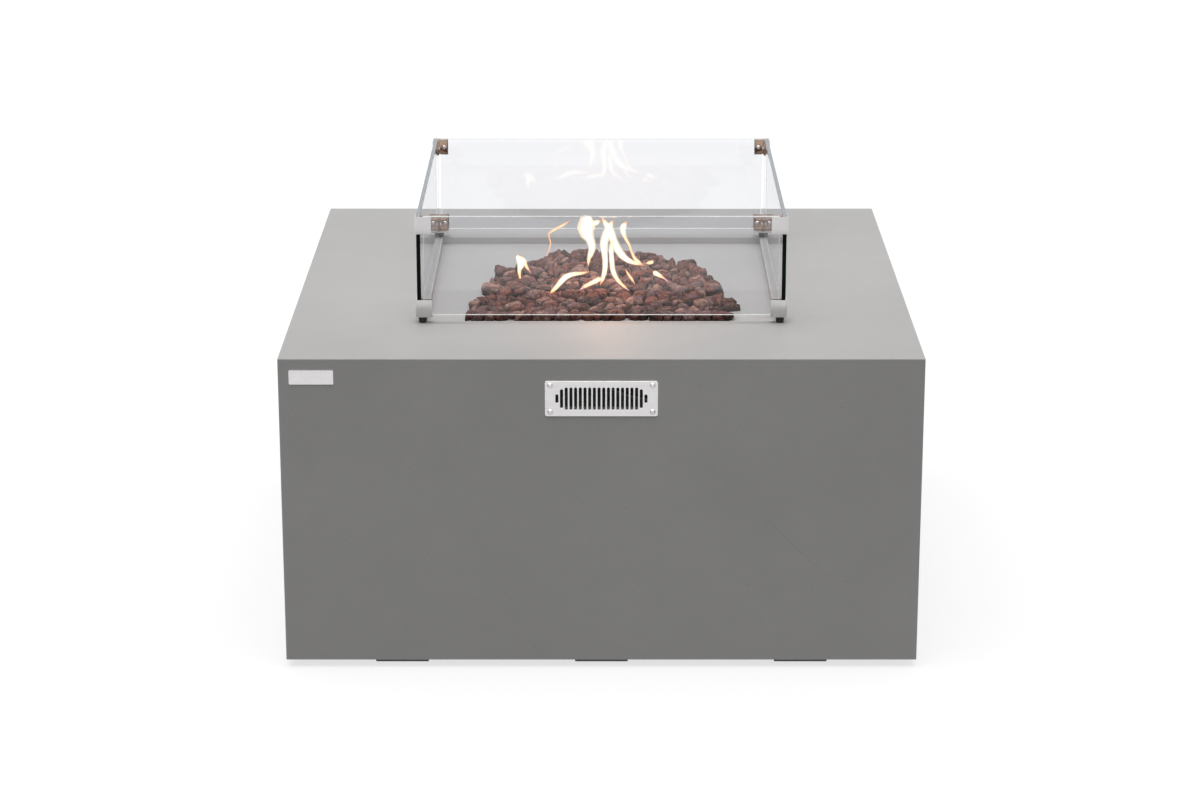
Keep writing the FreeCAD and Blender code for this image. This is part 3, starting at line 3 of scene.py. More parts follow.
import math
import random

import bmesh
import bpy
from bpy.props import FloatProperty, FloatVectorProperty, IntProperty, PointerProperty
from mathutils import Matrix, Vector, noise


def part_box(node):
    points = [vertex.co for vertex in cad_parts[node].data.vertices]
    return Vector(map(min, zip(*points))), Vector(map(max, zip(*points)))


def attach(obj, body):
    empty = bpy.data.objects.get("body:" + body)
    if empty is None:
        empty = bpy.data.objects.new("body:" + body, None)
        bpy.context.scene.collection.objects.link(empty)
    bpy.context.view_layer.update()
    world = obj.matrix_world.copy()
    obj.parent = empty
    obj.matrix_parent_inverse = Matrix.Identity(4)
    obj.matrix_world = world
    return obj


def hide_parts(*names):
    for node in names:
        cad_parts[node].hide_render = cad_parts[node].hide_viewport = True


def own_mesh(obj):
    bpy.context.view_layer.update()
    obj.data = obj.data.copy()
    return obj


bl_info = {
    "name": "Gas Fire Table",
    "version": (1, 0, 0),
    "blender": (4, 5, 0),
    "location": "View3D > Sidebar > Fire Table",
    "description": "Dresses a concrete gas fire table and its glass wind guard",
    "category": "Object",
}

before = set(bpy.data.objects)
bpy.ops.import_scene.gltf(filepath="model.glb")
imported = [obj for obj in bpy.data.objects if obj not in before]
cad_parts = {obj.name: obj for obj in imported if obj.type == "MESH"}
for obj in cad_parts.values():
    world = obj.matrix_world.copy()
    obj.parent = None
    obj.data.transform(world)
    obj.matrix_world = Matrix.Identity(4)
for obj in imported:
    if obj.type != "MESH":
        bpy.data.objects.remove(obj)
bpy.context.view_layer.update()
TABLE = "fire_table"
GUARD = "wind_guard"
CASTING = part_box("concrete_shell")
TABLE_TOP = CASTING[1].z
MM = 0.001
MERGE = 1e-6
ORIGIN = (0.0, 0.0, 0.0)


def paint(red, green, blue):
    """A linear colour from the 0 to 255 levels it shows on a screen."""
    return tuple((level / 255 / 12.92) if level < 10.4 else ((level / 255 + 0.055) / 1.055) ** 2.4
                 for level in (red, green, blue))


# Sizes and colours

def setting(kind, **limits):
    """Return a maker of one kind of setting."""
    return lambda name, description, default: kind(name=name, description=description, default=default,
                                                   **limits)


share = setting(FloatProperty, subtype="FACTOR", min=0, max=1)
length = setting(FloatProperty, subtype="DISTANCE", unit="LENGTH", min=0)
power = setting(FloatProperty, min=0)
tint = setting(FloatVectorProperty, subtype="COLOR", size=3, min=0, max=1)


class FireTableCasting(bpy.types.PropertyGroup):
    colour: tint("Concrete", "Colour of the dry cast concrete", paint(176, 175, 174))
    mottle: share("Mottle", "How far the cloudy patches lighten and darken it", 0.07)
    # The pale edge of the recess is partly rubbed wear and partly a painted highlight along its arris.
    recess: length("Recess", "Width of the recess, whose edge is rubbed pale", 0.515)
    pinhole_size: share("Pinhole Size", "Share of its cell that a pinhole fills", 0.15)


class FireTableHeap(bpy.types.PropertyGroup):
    lumps: share("Lumps", "How far lumps stand out, as a share of a stone's size", 0.3)
    fill: share("Fill", "Share of its place that a middling stone fills", 0.93)
    broken: share("Broken", "Share of the stones over the pan that are broken in two", 1.0)
    crumbled: share("Crumbled", "Share of those halves that are broken again", 0.95)
    foot: length("Foot", "Height over the pan in which the stones lie closer", 0.014)
    # Painted shade: how dark the undersides of the stones are painted, standing in for the shade that falls
    # under and between them.
    soot: share("Soot", "How dark the undersides of the stones are", 0.95)
    settle: share("Settle", "Share of its height that the heap keeps", 0.68)
    seed: IntProperty(name="Seed", description="Picks the breaks and shades of the stones", min=0, default=11)
    dark: tint("Dark Stone", "Colour of the darkest stones", paint(56, 42, 40))
    red: tint("Red Stone", "Colour of the reddish stones", paint(158, 99, 84))
    mauve: tint("Mauve Stone", "Colour of the mauve stones", paint(128, 102, 104))
    pale: tint("Pale Stone", "Colour of the palest stones", paint(202, 158, 142))


class FireTableFlames(bpy.types.PropertyGroup):
    strength: power("Brightness", "How brightly the flames burn", 1.5)
    core: share("Core Width", "Width of the pale core against the whole flame", 0.62)
    glow: FloatProperty(name="Glow", description="Light that the flames throw on the table", unit="POWER",
                        min=0, max=5, default=0.4)
    edge: tint("Edge", "Colour of the thin edges and tips", (1.0, 0.4, 0.17))
    heart: tint("Heart", "Colour of the thick middle", (1.0, 0.82, 0.58))
    root: tint("Root", "Colour of the gas just above the stones", (0.35, 0.4, 1.0))


class FireTableGuard(bpy.types.PropertyGroup):
    pane_easing: length("Pane Edge", "Width of the ground edge of a pane", 0.0007)
    bend: length("Bracket Bend", "Outer radius of the bend in a bracket", 0.0025)
    bracket_easing: length("Bracket Edge", "Width of a bracket's eased edges", 0.0003)
    glass: tint("Glass", "Tint of light through a pane", (0.905, 0.91, 0.932))
    rim: tint("Glass Rim", "Colour of the ground edges", paint(244, 247, 246))
    crest: tint("Glass Crest", "Colour of the top edges of the side panes", paint(138, 145, 152))
    end: tint("Glass End", "Colour of the deep upright ends of the side panes", paint(8, 20, 17))


class FireTableMetal(bpy.types.PropertyGroup):
    steel: tint("Stainless Steel", "Colour of the brushed steel", (0.59, 0.58, 0.58))
    vent_easing: length("Vent Edge", "Width of a vent plate's eased edges", 0.0003)
    plate_easing: length("Name Plate Edge", "Width of the name plate's eased edges", 0.00025)
    mark_height: length("Dial Mark Height", "How far the marks stand off the panel", 0.0003)


class FireTableStage(bpy.types.PropertyGroup):
    floor: tint("Floor", "Colour of the pale floor", (0.93, 0.93, 0.93))
    sky: power("Soft Light", "Level of the even light all round", 0.34)
    sun: power("Top Light", "Strength of the wide lamp overhead", 2.1)


PROPERTY_GROUPS = {
    "fire_table_casting": FireTableCasting,
    "fire_table_heap": FireTableHeap,
    "fire_table_flames": FireTableFlames,
    "fire_table_guard": FireTableGuard,
    "fire_table_metal": FireTableMetal,
    "fire_table_stage": FireTableStage,
}


# Shader nodes

def feed(socket, value):
    """Link a result to a socket, or set a plain value on it."""
    if isinstance(value, bpy.types.NodeSocket):
        socket.id_data.links.new(value, socket)
    else:
        socket.default_value = value


def builder(tree):
    """Return a function that adds a node to a tree, sets it up and feeds its inputs."""
    def add(kind, inputs=None, **settings):
        made = tree.nodes.new(kind)
        for name, value in settings.items():
            setattr(made, name, value)
        for name, value in (inputs or {}).items():
            feed(made.inputs[name], value)
        return made
    return add


def maths(add, operation, first, second=0.0, clamp=False):
    """Do a sum on single values and return its result socket."""
    return add("ShaderNodeMath", {0: first, 1: second}, operation=operation, use_clamp=clamp).outputs[0]


def times(add, first, second):
    """Multiply single values."""
    return maths(add, "MULTIPLY", first, second)


def vectors(add, operation, first, second=ORIGIN, **inputs):
    """Do a sum on vectors and return its result socket."""
    return add("ShaderNodeVectorMath", {0: first, 1: second, **inputs}, operation=operation).outputs[0]


def spread(add, value, low, high, new_low=0.0, new_high=1.0, smooth=False):
    """Stretch a value from one range to another and keep it inside."""
    settings = {"interpolation_type": "SMOOTHSTEP"} if smooth else {}
    ends = {"From Min": low, "From Max": high, "To Min": new_low, "To Max": new_high}
    return add("ShaderNodeMapRange", {"Value": value, **ends}, **settings).outputs["Result"]


def shades(add, value, stops):
    """Turn a value into colours along a ramp of (place, colour) stops."""
    made = add("ShaderNodeValToRGB", {"Fac": value})
    elements = made.color_ramp.elements
    while len(elements) < len(stops):
        elements.new(0.5)
    for element, (place, colour) in zip(elements, stops):
        element.position = place
        element.color = (*colour[:3], 1.0)
    return made.outputs["Color"]


def blend(add, factor, first, second, most=1.0):
    """Mix a colour result with a plain colour or another result, by a factor or a share of it."""
    factor = factor if most == 1.0 else times(add, factor, most)
    ends = [end if isinstance(end, bpy.types.NodeSocket) else (*end[:3], 1.0) for end in (first, second)]
    return add("ShaderNodeMix", {0: factor, 6: ends[0], 7: ends[1]}, data_type="RGBA").outputs[2]


def effect(name, output, **inputs):
    """Start a node group with one value as its output. Return its builder, its inputs and that output."""
    tree = bpy.data.node_groups.new(name, "ShaderNodeTree")
    for label, value in inputs.items():
        kind = "NodeSocketFloat" if isinstance(value, float) else "NodeSocketVector"
        socket = tree.interface.new_socket(name=label.replace("_", " "), in_out="INPUT", socket_type=kind)
        socket.default_value = value
    tree.interface.new_socket(name=output, in_out="OUTPUT", socket_type="NodeSocketFloat")
    add = builder(tree)
    return add, add("NodeGroupInput").outputs, add("NodeGroupOutput").inputs[output]


def make_grain():
    """Cloudy grain of any size: a value round one half."""
    add, given, end = effect("grain", "Value", Vector=ORIGIN, Scale=100.0, Detail=4.0)
    cloud = add("ShaderNodeTexNoise", {"Vector": given["Vector"], "Scale": given["Scale"],
                                       "Detail": given["Detail"], "Roughness": 0.6})
    feed(end, spread(add, cloud.outputs["Fac"], 0.3, 0.7))


def make_pits():
    """Round pits of mixed size: a mask that is 1 inside a pit."""
    add, given, end = effect("pits", "Mask", Vector=ORIGIN, Scale=100.0, Size=0.3)
    wander = add("ShaderNodeTexNoise", {"Vector": given["Vector"], "Scale": given["Scale"], "Detail": 2.0})
    shifted = vectors(add, "SCALE", wander.outputs["Color"], Scale=0.004)
    place = vectors(add, "ADD", given["Vector"], shifted)
    cells = add("ShaderNodeTexVoronoi", {"Vector": place, "Scale": given["Scale"]})
    chance = add("ShaderNodeSeparateColor", {"Color": cells.outputs["Color"]}).outputs["Red"]
    reach = times(add, times(add, chance, chance), given["Size"])
    inner = times(add, reach, 0.6)
    feed(end, spread(add, cells.outputs["Distance"], inner, reach, 1.0, 0.0, smooth=True))


def make_brushing():
    """Fine lines drawn out along one direction by a stretch vector: a value round one half."""
    add, given, end = effect("brushing", "Value", Vector=ORIGIN, Stretch=(10.0, 10.0, 900.0))
    drawn = vectors(add, "MULTIPLY", given["Vector"], given["Stretch"])
    lines = add("ShaderNodeTexNoise", {"Vector": drawn, "Scale": 1.0, "Detail": 3.0, "Roughness": 0.7})
    feed(end, spread(add, lines.outputs["Fac"], 0.3, 0.7))


def past_half(add, given, swapped=False):
    """How far a place lies past a box's faces along each axis, or short of them where swapped."""
    apart = vectors(add, "ABSOLUTE", vectors(add, "SUBTRACT", given["Vector"], given["Middle"]))
    ends = (given["Half Size"], apart) if swapped else (apart, given["Half Size"])
    return add("ShaderNodeSeparateXYZ", {"Vector": vectors(add, "SUBTRACT", *ends)}).outputs


def make_arris():
    """Marks the sharp edges of a box: a mask that is 1 on an edge and 0 a little way in."""
    add, given, end = effect("arris", "Mask", Vector=ORIGIN, Middle=ORIGIN, Half_Size=(1.0, 1.0, 1.0),
                             Width=0.003)
    x, y, z = past_half(add, given, swapped=True)
    nearest = maths(add, "MINIMUM", x, y)
    other = maths(add, "MAXIMUM", x, y)
    second = maths(add, "MAXIMUM", nearest, maths(add, "MINIMUM", other, z))
    feed(end, spread(add, second, 0.0, given["Width"], 1.0, 0.0, smooth=True))


def make_outline():
    """Marks a level rectangle's outline: a mask that is 1 on the line and 0 a little way off."""
    add, given, end = effect("outline", "Mask", Vector=ORIGIN, Middle=ORIGIN, Half_Size=(1.0, 1.0, 0.0),
                             Width=0.002)
    x, y, z = past_half(add, given)
    off_line = maths(add, "ABSOLUTE", maths(add, "MAXIMUM", x, y))
    feed(end, spread(add, maths(add, "MAXIMUM", off_line, z), 0.0, given["Width"], 1.0, 0.0, smooth=True))


EFFECTS = {"grain": make_grain, "pits": make_pits, "brushing": make_brushing, "arris": make_arris,
           "outline": make_outline}


def use_effect(add, name, **inputs):
    """Place a shared effect in a material, building it the first time."""
    if name not in bpy.data.node_groups:
        EFFECTS[name]()
    inputs = {label.replace("_", " "): value for label, value in inputs.items()}
    return add("ShaderNodeGroup", inputs, node_tree=bpy.data.node_groups[name]).outputs[0]


def start_material(name, **plain):
    """Start a material and return it, its node builder, its shader and its object coordinates."""
    material = bpy.data.materials.new(name)
    material.use_nodes = True
    tree = material.node_tree
    shader = tree.nodes["Principled BSDF"]
    for label, value in plain.items():
        shader.inputs[label.replace("_", " ")].default_value = value
    add = builder(tree)
    return material, add, shader, add("ShaderNodeTexCoord").outputs["Object"]


def wire(shader, **links):
    """Wire results to the shader's sockets."""
    for label, value in links.items():
        feed(shader.inputs[label.replace("_", " ")], value)


def grain(add, place, scale, detail):
    """Cloudy grain in a material: a value round one half."""
    return use_effect(add, "grain", Vector=place, Scale=scale, Detail=detail)


def bump(add, height, depth, strength=1.0):
    """A normal raised by a height value, with the depth in metres."""
    inputs = {"Height": height, "Distance": depth, "Strength": strength}
    return add("ShaderNodeBump", inputs).outputs["Normal"]


# Finishes

def cast_concrete(looks):
    material, add, shader, place = start_material("cast_concrete", IOR=1.45)
    low, high = CASTING
    clouds = grain(add, place, 5.0, 3.0)
    patches = grain(add, place, 38.0, 5.0)
    sand = grain(add, place, 900.0, 2.0)
    holes = use_effect(add, "pits", Vector=place, Scale=85.0, Size=looks.pinhole_size)
    arris_mask = use_effect(add, "arris", Vector=place, Middle=(low + high) / 2, Half_Size=(high - low) / 2,
                        Width=0.0035)
    recess = use_effect(add, "outline", Vector=place, Middle=(0.0, 0.0, TABLE_TOP),
                        Half_Size=(looks.recess / 2, looks.recess / 2, 0.0), Width=0.0022)
    cloudy = maths(add, "ADD", times(add, clouds, 0.55), times(add, patches, 0.3))
    value = maths(add, "ADD", cloudy, times(add, sand, 0.15))
    base = Vector(looks.colour)
    tone = shades(add, value, [(0.0, base * (1 - looks.mottle)), (1.0, base * (1 + looks.mottle))])
    # Partly rubbed wear and partly painted highlight: the sharp outer edges are lightened in patches, as
    # edges that catch the light.
    wear_and_edge_highlight = times(add, arris_mask, times(add, patches, 0.22))
    tone = blend(add, wear_and_edge_highlight, tone, base * 1.25)
    # Partly rubbed wear and partly painted highlight: a pale line is painted along the edge of the recess.
    tone = blend(add, recess, tone, base * 1.35, 0.7)
    tone = blend(add, holes, tone, base * 0.45, 0.3)
    relief = maths(add, "SUBTRACT", times(add, sand, 0.35), holes)
    wire(shader, Base_Color=tone, Roughness=spread(add, patches, 0.0, 1.0, 0.5, 0.62),
         Normal=bump(add, relief, 0.0002, 0.4))
    return material


def lava_rock(looks):
    material, add, shader, place = start_material("lava_rock", Specular_IOR_Level=0.25)
    shade = add("ShaderNodeAttribute", attribute_name="stone_shade").outputs["Fac"]
    patches = grain(add, place, 90.0, 4.0)
    grit_and_highlight = grain(add, place, 420.0, 4.0)
    large = use_effect(add, "pits", Vector=place, Scale=230.0, Size=0.9)
    small = use_effect(add, "pits", Vector=place, Scale=520.0, Size=0.9)
    mixed = maths(add, "ADD", shade, spread(add, patches, 0.0, 1.0, -0.15, 0.15), clamp=True)
    tone = shades(add, mixed, [(0.0, looks.dark), (0.4, looks.red), (0.7, looks.mauve), (1.0, looks.pale)])
    pores = maths(add, "MAXIMUM", large, times(add, small, 0.8))
    tone = blend(add, pores, tone, Vector(looks.dark) * 0.3, 0.55)
    # Painted highlight: the raised grit is lightened past the palest stone colour; the same grain also gives
    # the grit its bump.
    tone = blend(add, spread(add, grit_and_highlight, 0.5, 1.0, 0.0, 0.45), tone, Vector(looks.pale) * 1.35)
    # Painted shade: the undersides of the stones are darkened towards near-black, standing in for the shade
    # under and between them.
    underside_shade_mask = add("ShaderNodeAttribute", attribute_name="stone_underside_shade").outputs["Fac"]
    tone = blend(add, underside_shade_mask, tone, Vector(looks.dark) * 0.12, looks.soot)
    relief = maths(add, "SUBTRACT", times(add, grit_and_highlight, 0.9), pores)
    wire(shader, Base_Color=tone, Roughness=spread(add, patches, 0.0, 1.0, 0.8, 0.95),
         Normal=bump(add, relief, 0.0018, 1.0))
    return material


def brushed_metal(name, colour, stretch, rough=0.3, stain=0.12):
    """Sheet metal with fine brushed lines and faint stains."""
    material, add, shader, place = start_material(name, Metallic=1.0)
    lines = use_effect(add, "brushing", Vector=place, Stretch=stretch)
    stains = grain(add, place, 60.0, 3.0)
    colour = Vector(colour)
    tone = shades(add, lines, [(0.0, colour * 0.93), (1.0, colour * 1.05)])
    tone = blend(add, stains, tone, colour * 0.75, stain)
    rough = maths(add, "ADD", spread(add, lines, 0.0, 1.0, rough - 0.06, rough + 0.06),
                  spread(add, stains, 0.0, 1.0, -0.03, 0.05))
    wire(shader, Base_Color=tone, Roughness=rough, Normal=bump(add, lines, 0.00004, 0.4))
    return material


def cast_metal(name, colour, rough=0.35, grit=700.0):
    """Turned or cast metal with a faint grit and dull patches."""
    material, add, shader, place = start_material(name, Metallic=1.0)
    grit = grain(add, place, grit, 3.0)
    dull = grain(add, place, 45.0, 4.0)
    colour = Vector(colour)
    tone = shades(add, dull, [(0.0, colour * 0.8), (1.0, colour * 1.06)])
    wire(shader, Base_Color=tone, Roughness=spread(add, dull, 0.0, 1.0, rough - 0.08, rough + 0.1),
         Normal=bump(add, grit, 0.00006, 0.4))
    return material


def moulded(name, colour, rough=0.5, grit=1200.0, depth=0.00008):
    """Plastic, rubber, paint or ceramic with a fine moulded texture and a little dust."""
    material, add, shader, place = start_material(name)
    grit = grain(add, place, grit, 2.0)
    dust = grain(add, place, 70.0, 5.0)
    colour = Vector(colour)
    dusty = colour * 0.9 + Vector((0.02, 0.02, 0.02))
    tone = shades(add, dust, [(0.0, colour * 0.85), (0.6, colour), (1.0, dusty)])
    wire(shader, Base_Color=tone, Roughness=spread(add, dust, 0.0, 1.0, rough - 0.05, rough + 0.1),
         Normal=bump(add, grit, depth, 0.5))
    return material


def clear_glass(looks):
    """Toughened glass that lets lamp light through and keeps faint wipe marks."""
    material, add, shader, place = start_material("clear_glass", Transmission_Weight=1.0, IOR=1.5,
                                                  Specular_IOR_Level=0.12, Base_Color=(*looks.glass, 1.0))
    wipes = grain(add, place, 7.0, 5.0)
    shadow = add("ShaderNodeLightPath").outputs["Is Shadow Ray"]
    wire(shader, Roughness=spread(add, wipes, 0.55, 1.0, 0.0, 0.015),
         Alpha=spread(add, shadow, 0.0, 1.0, 1.0, 0.08))
    return material


def glass_edge(name, colour, tones, rough, scale, detail, **plain):
    """A ground edge of a pane, between two shares of a colour and two roughnesses."""
    material, add, shader, place = start_material(name, IOR=1.5, **plain)
    ground = grain(add, place, scale, detail)
    colour = Vector(colour)
    wire(shader, Base_Color=shades(add, ground, [(0.0, colour * tones[0]), (1.0, colour * tones[1])]),
         Roughness=spread(add, ground, 0.0, 1.0, *rough))
    return material


def fire(name, looks, strength, opacity):
    """Burning gas whose colour follows the heat kept in the mesh."""
    material, add, shader, place = start_material(name, Base_Color=(0.0, 0.0, 0.0, 1.0), Roughness=1.0,
                                                  Specular_IOR_Level=0.0, Emission_Strength=strength)
    heat = add("ShaderNodeAttribute", attribute_name="warmth").outputs["Fac"]
    flicker = grain(add, place, 70.0, 2.0)
    heat = maths(add, "ADD", heat, spread(add, flicker, 0.0, 1.0, -0.05, 0.05))
    heart, edge = Vector(looks.heart), Vector(looks.edge)
    tone = shades(add, heat, [(0.0, looks.root), (0.12, edge * 0.8), (0.25, edge), (0.6, (edge + heart) / 2),
                              (0.85, heart)])
    wire(shader, Emission_Color=tone, Alpha=spread(add, heat, 0.0, 0.6, opacity * 0.35, opacity))
    return material


def make_finishes(scene):
    """Build every finish and return it by the name of the record's material slot."""
    guard, flames = scene.fire_table_guard, scene.fire_table_flames
    steel = Vector(scene.fire_table_metal.steel)
    # Painted reflection: the polished steel leaves are coloured coppery, standing in for the warm stones and
    # flames they reflect.
    reflected_warm_tint = (0.41, 0.29, 0.23)
    along_x, along_z = (6.0, 900.0, 900.0), (700.0, 700.0, 12.0)
    ground = ((0.92, 1.0), (0.2, 0.34), 300.0, 3.0)
    return {
        "concrete": cast_concrete(scene.fire_table_casting),
        "lava": lava_rock(scene.fire_table_heap),
        "stainless": brushed_metal("brushed_stainless", steel * 1.15, along_x),
        "plate": brushed_metal("brushed_plate", steel * 1.15, along_x, rough=0.26, stain=0.08),
        "bracket_steel": brushed_metal("satin_bracket_steel", steel * 1.02, along_z, rough=0.34, stain=0.1),
        "leaf": brushed_metal("polished_leaf_steel", reflected_warm_tint, along_z, rough=0.16, stain=0.2),
        "screw_steel": cast_metal("bright_screw_steel", steel * 1.1, rough=0.2),
        "glass": clear_glass(guard),
        "glass_rim": glass_edge("glass_rim", guard.rim, *ground, Transmission_Weight=0.15),
        "glass_crest": glass_edge("glass_crest", guard.crest, *ground),
        "glass_end": glass_edge("glass_end", guard.end, (0.6, 1.3), (0.1, 0.18), 40.0, 2.0,
                                Specular_IOR_Level=0.05),
        "dull_tube": cast_metal("dull_aluminium", (0.12, 0.12, 0.125), rough=0.6),
        "foot_rubber": moulded("black_rubber", paint(26, 26, 27), rough=0.62),
        "brass": cast_metal("machined_brass", (0.62, 0.44, 0.18), rough=0.3),
        "zinc_steel": cast_metal("zinc_plated_steel", (0.5, 0.51, 0.52), rough=0.38, grit=300.0),
        "copper_lead": cast_metal("drawn_copper", (0.72, 0.36, 0.22), rough=0.28),
        "white_ceramic": moulded("glazed_ceramic", paint(228, 224, 214), rough=0.22, depth=0.00002),
        "lead_jacket": moulded("silicone_jacket", paint(44, 42, 42), rough=0.5),
        "black_plastic": moulded("black_moulding", paint(30, 30, 31), rough=0.38),
        "valve_alloy": cast_metal("die_cast_alloy", (0.46, 0.47, 0.48), rough=0.45, grit=450.0),
        "spring_steel": cast_metal("spring_wire", (0.42, 0.42, 0.43), rough=0.25),
        "battery_case": moulded("battery_sleeve", paint(96, 98, 102), rough=0.3, depth=0.00003),
        "dial_paint": moulded("dial_paint", paint(236, 236, 232), rough=0.45),
        "panel": moulded("powder_coat", paint(58, 59, 61), rough=0.55, grit=900.0, depth=0.0001),
        "flame_veil": fire("flame_veil", flames, flames.strength, 0.4),
        "flame_core": fire("flame_core", flames, flames.strength * 1.6, 1.0),
    }


FINISHES = {}


def finish(slot):
    """The finish for a material slot of the record, or for a look of its own."""
    if not FINISHES:
        FINISHES.update(make_finishes(bpy.context.scene))
    return FINISHES[slot]


# Shapes

EASING_STEPS = 2


def soften(bm, edges, offset, steps=EASING_STEPS, clamp=False):
    """Round some edges of a bmesh off."""
    bmesh.ops.bevel(bm, geom=edges, offset=offset, segments=steps, profile=0.5, affect="EDGES", material=-1,
                    clamp_overlap=clamp)


def sharp_edges(bm, angle):
    """The edges of a bmesh that are sharper than an angle in degrees."""
    return [edge for edge in bm.edges if len(edge.link_faces) == 2
            and edge.calc_face_angle() > math.radians(angle)]


def block(bm, low, high, easing=0.0, corner=None):
    """Add a block from corner to corner. Corner is an axis and a radius for the edges along that axis."""
    low, high = Vector(low), Vector(high)
    size = high - low
    where = Matrix.Translation((low + high) / 2) @ Matrix.Diagonal((*size, 1.0))
    made = bmesh.ops.create_cube(bm, size=1.0, matrix=where)
    edges = {edge for vert in made["verts"] for edge in vert.link_edges}
    if corner:
        axis, radius = corner
        along = [edge for edge in edges if abs((edge.verts[0].co - edge.verts[1].co)[axis]) > size[axis] / 2]
        soften(bm, along, radius, 6)
        edges = sharp_edges(bm, 60)
    if easing:
        soften(bm, list(edges), easing)
    return bm


def prism(corners, height):
    """A bmesh of a flat outline of (x, y) corners drawn up by a height."""
    bm = bmesh.new()
    base = bm.faces.new([bm.verts.new((x, y, 0.0)) for x, y in corners])
    drawn = bmesh.ops.extrude_face_region(bm, geom=[base])
    raised = [item for item in drawn["geom"] if isinstance(item, bmesh.types.BMVert)]
    bmesh.ops.translate(bm, verts=raised, vec=(0.0, 0.0, height))
    bmesh.ops.recalc_face_normals(bm, faces=bm.faces)
    return bm


def turned(outline, steps=48):
    """A bmesh of a round part spun about Z from (radius, height) points."""
    bm = bmesh.new()
    verts = [bm.verts.new((radius, 0.0, height)) for radius, height in outline]
    edges = [bm.edges.new(pair) for pair in zip(verts, verts[1:])]
    bmesh.ops.spin(bm, geom=verts + edges, cent=(0, 0, 0), axis=(0, 0, 1), dvec=(0, 0, 0), angle=math.tau,
                   steps=steps, use_merge=True)
    bmesh.ops.remove_doubles(bm, verts=bm.verts, dist=MERGE)
    bmesh.ops.recalc_face_normals(bm, faces=bm.faces)
    return bm


def add_part(bm, part, where=None):
    """Move a part into place, add it to a piece and free it."""
    if where is not None:
        bmesh.ops.transform(part, matrix=where, verts=part.verts)
        if where.determinant() < 0:
            bmesh.ops.reverse_faces(part, faces=part.faces)
    carrier = bpy.data.meshes.new("carrier")
    part.to_mesh(carrier)
    part.free()
    bm.from_mesh(carrier)
    bpy.data.meshes.remove(carrier)


def put(name, data, spot=ORIGIN, tilt=(0, 0)):
    """Put an object in the scene, at a place and tilted about X and Y in degrees."""
    item = bpy.data.objects.new(name, data)
    item.location = spot
    item.rotation_euler = (math.radians(tilt[0]), math.radians(tilt[1]), 0.0)
    bpy.context.scene.collection.objects.link(item)
    return item


def finish_piece(bm, name, body, slots, nodes=(), angle=40):
    """Make a bmesh a piece of the scene that rides on a body and stands for the CAD nodes named."""
    mesh = bpy.data.meshes.new(name)
    bm.to_mesh(mesh)
    bm.free()
    for look in slots:
        mesh.materials.append(finish(look))
    mesh.shade_smooth()
    mesh.set_sharp_from_angle(angle=math.radians(angle))
    piece = put(name, mesh)
    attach(piece, body)
    if nodes:
        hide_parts(*nodes)
    return piece


# Operators

FLOOR_BOUNCE, FLOOR_SEEN, FLOOR_LIFT = 0.1, 0.34, 0.72


def seen_rays(add):
    """A mask that is 1 for what the camera sees, straight or through metal and glass."""
    path = add("ShaderNodeLightPath").outputs
    through = maths(add, "MAXIMUM", path["Is Glossy Ray"], path["Is Transmission Ray"])
    return maths(add, "MAXIMUM", path["Is Camera Ray"], through)


class FIRETABLE_OT_stage(bpy.types.Operator):
    """Sets up the floor, the light and the camera"""
    bl_idname = "fire_table.stage"
    bl_label = "Stage"

    def execute(self, context):
        scene = context.scene
        looks = scene.fire_table_stage
        bm = bmesh.new()
        bmesh.ops.create_grid(bm, x_segments=4, y_segments=4, size=30.0)
        mesh = bpy.data.meshes.new("floor")
        bm.to_mesh(mesh)
        bm.free()
        put("floor", mesh)
        material, add, shader, place = start_material("pale_floor", Roughness=0.9, Specular_IOR_Level=0.1,
                                                      Emission_Color=(1.0, 1.0, 1.0, 1.0))
        seen = seen_rays(add)
        dim, plain = Vector(looks.floor) * FLOOR_BOUNCE, Vector(looks.floor) * FLOOR_SEEN
        wire(shader, Base_Color=blend(add, seen, dim, plain),
             Emission_Strength=times(add, seen, FLOOR_LIFT))
        mesh.materials.append(material)

        world = bpy.data.worlds.new("studio")
        scene.world = world
        world.use_nodes = True
        tree = world.node_tree
        add = builder(tree)
        seen = seen_rays(add)
        background = tree.nodes["Background"]
        background.inputs["Color"].default_value = (1.0, 1.0, 1.0, 1.0)
        feed(background.inputs["Strength"], spread(add, seen, 0.0, 1.0, looks.sky, 1.0))

        overhead = bpy.data.lights.new("overhead", "SUN")
        overhead.energy = looks.sun
        overhead.angle = math.radians(70)
        put("overhead", overhead, tilt=(9, -4))

        camera = bpy.data.cameras.new("camera")
        camera.lens = 93.8
        camera.sensor_width = 36.0
        camera.clip_end = 100.0
        scene.camera = put("camera", camera, (-0.002, -4.688, 1.691), (73.1, 0))
        scene.view_settings.view_transform = "Standard"
        return {"FINISHED"}


class FIRETABLE_OT_dress(bpy.types.Operator):
    """Gives every solid that stays its finish"""
    bl_idname = "fire_table.dress"
    bl_label = "Finishes"

    def execute(self, context):
        special = {"control_box": "panel", "pilot_tube": "dull_tube", "supply_tube": "dull_tube"}
        for name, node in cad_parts.items():
            for spot in node.material_slots:
                spot.material = finish(special.get(name, spot.material.name.split(".")[0]))
        return {"FINISHED"}


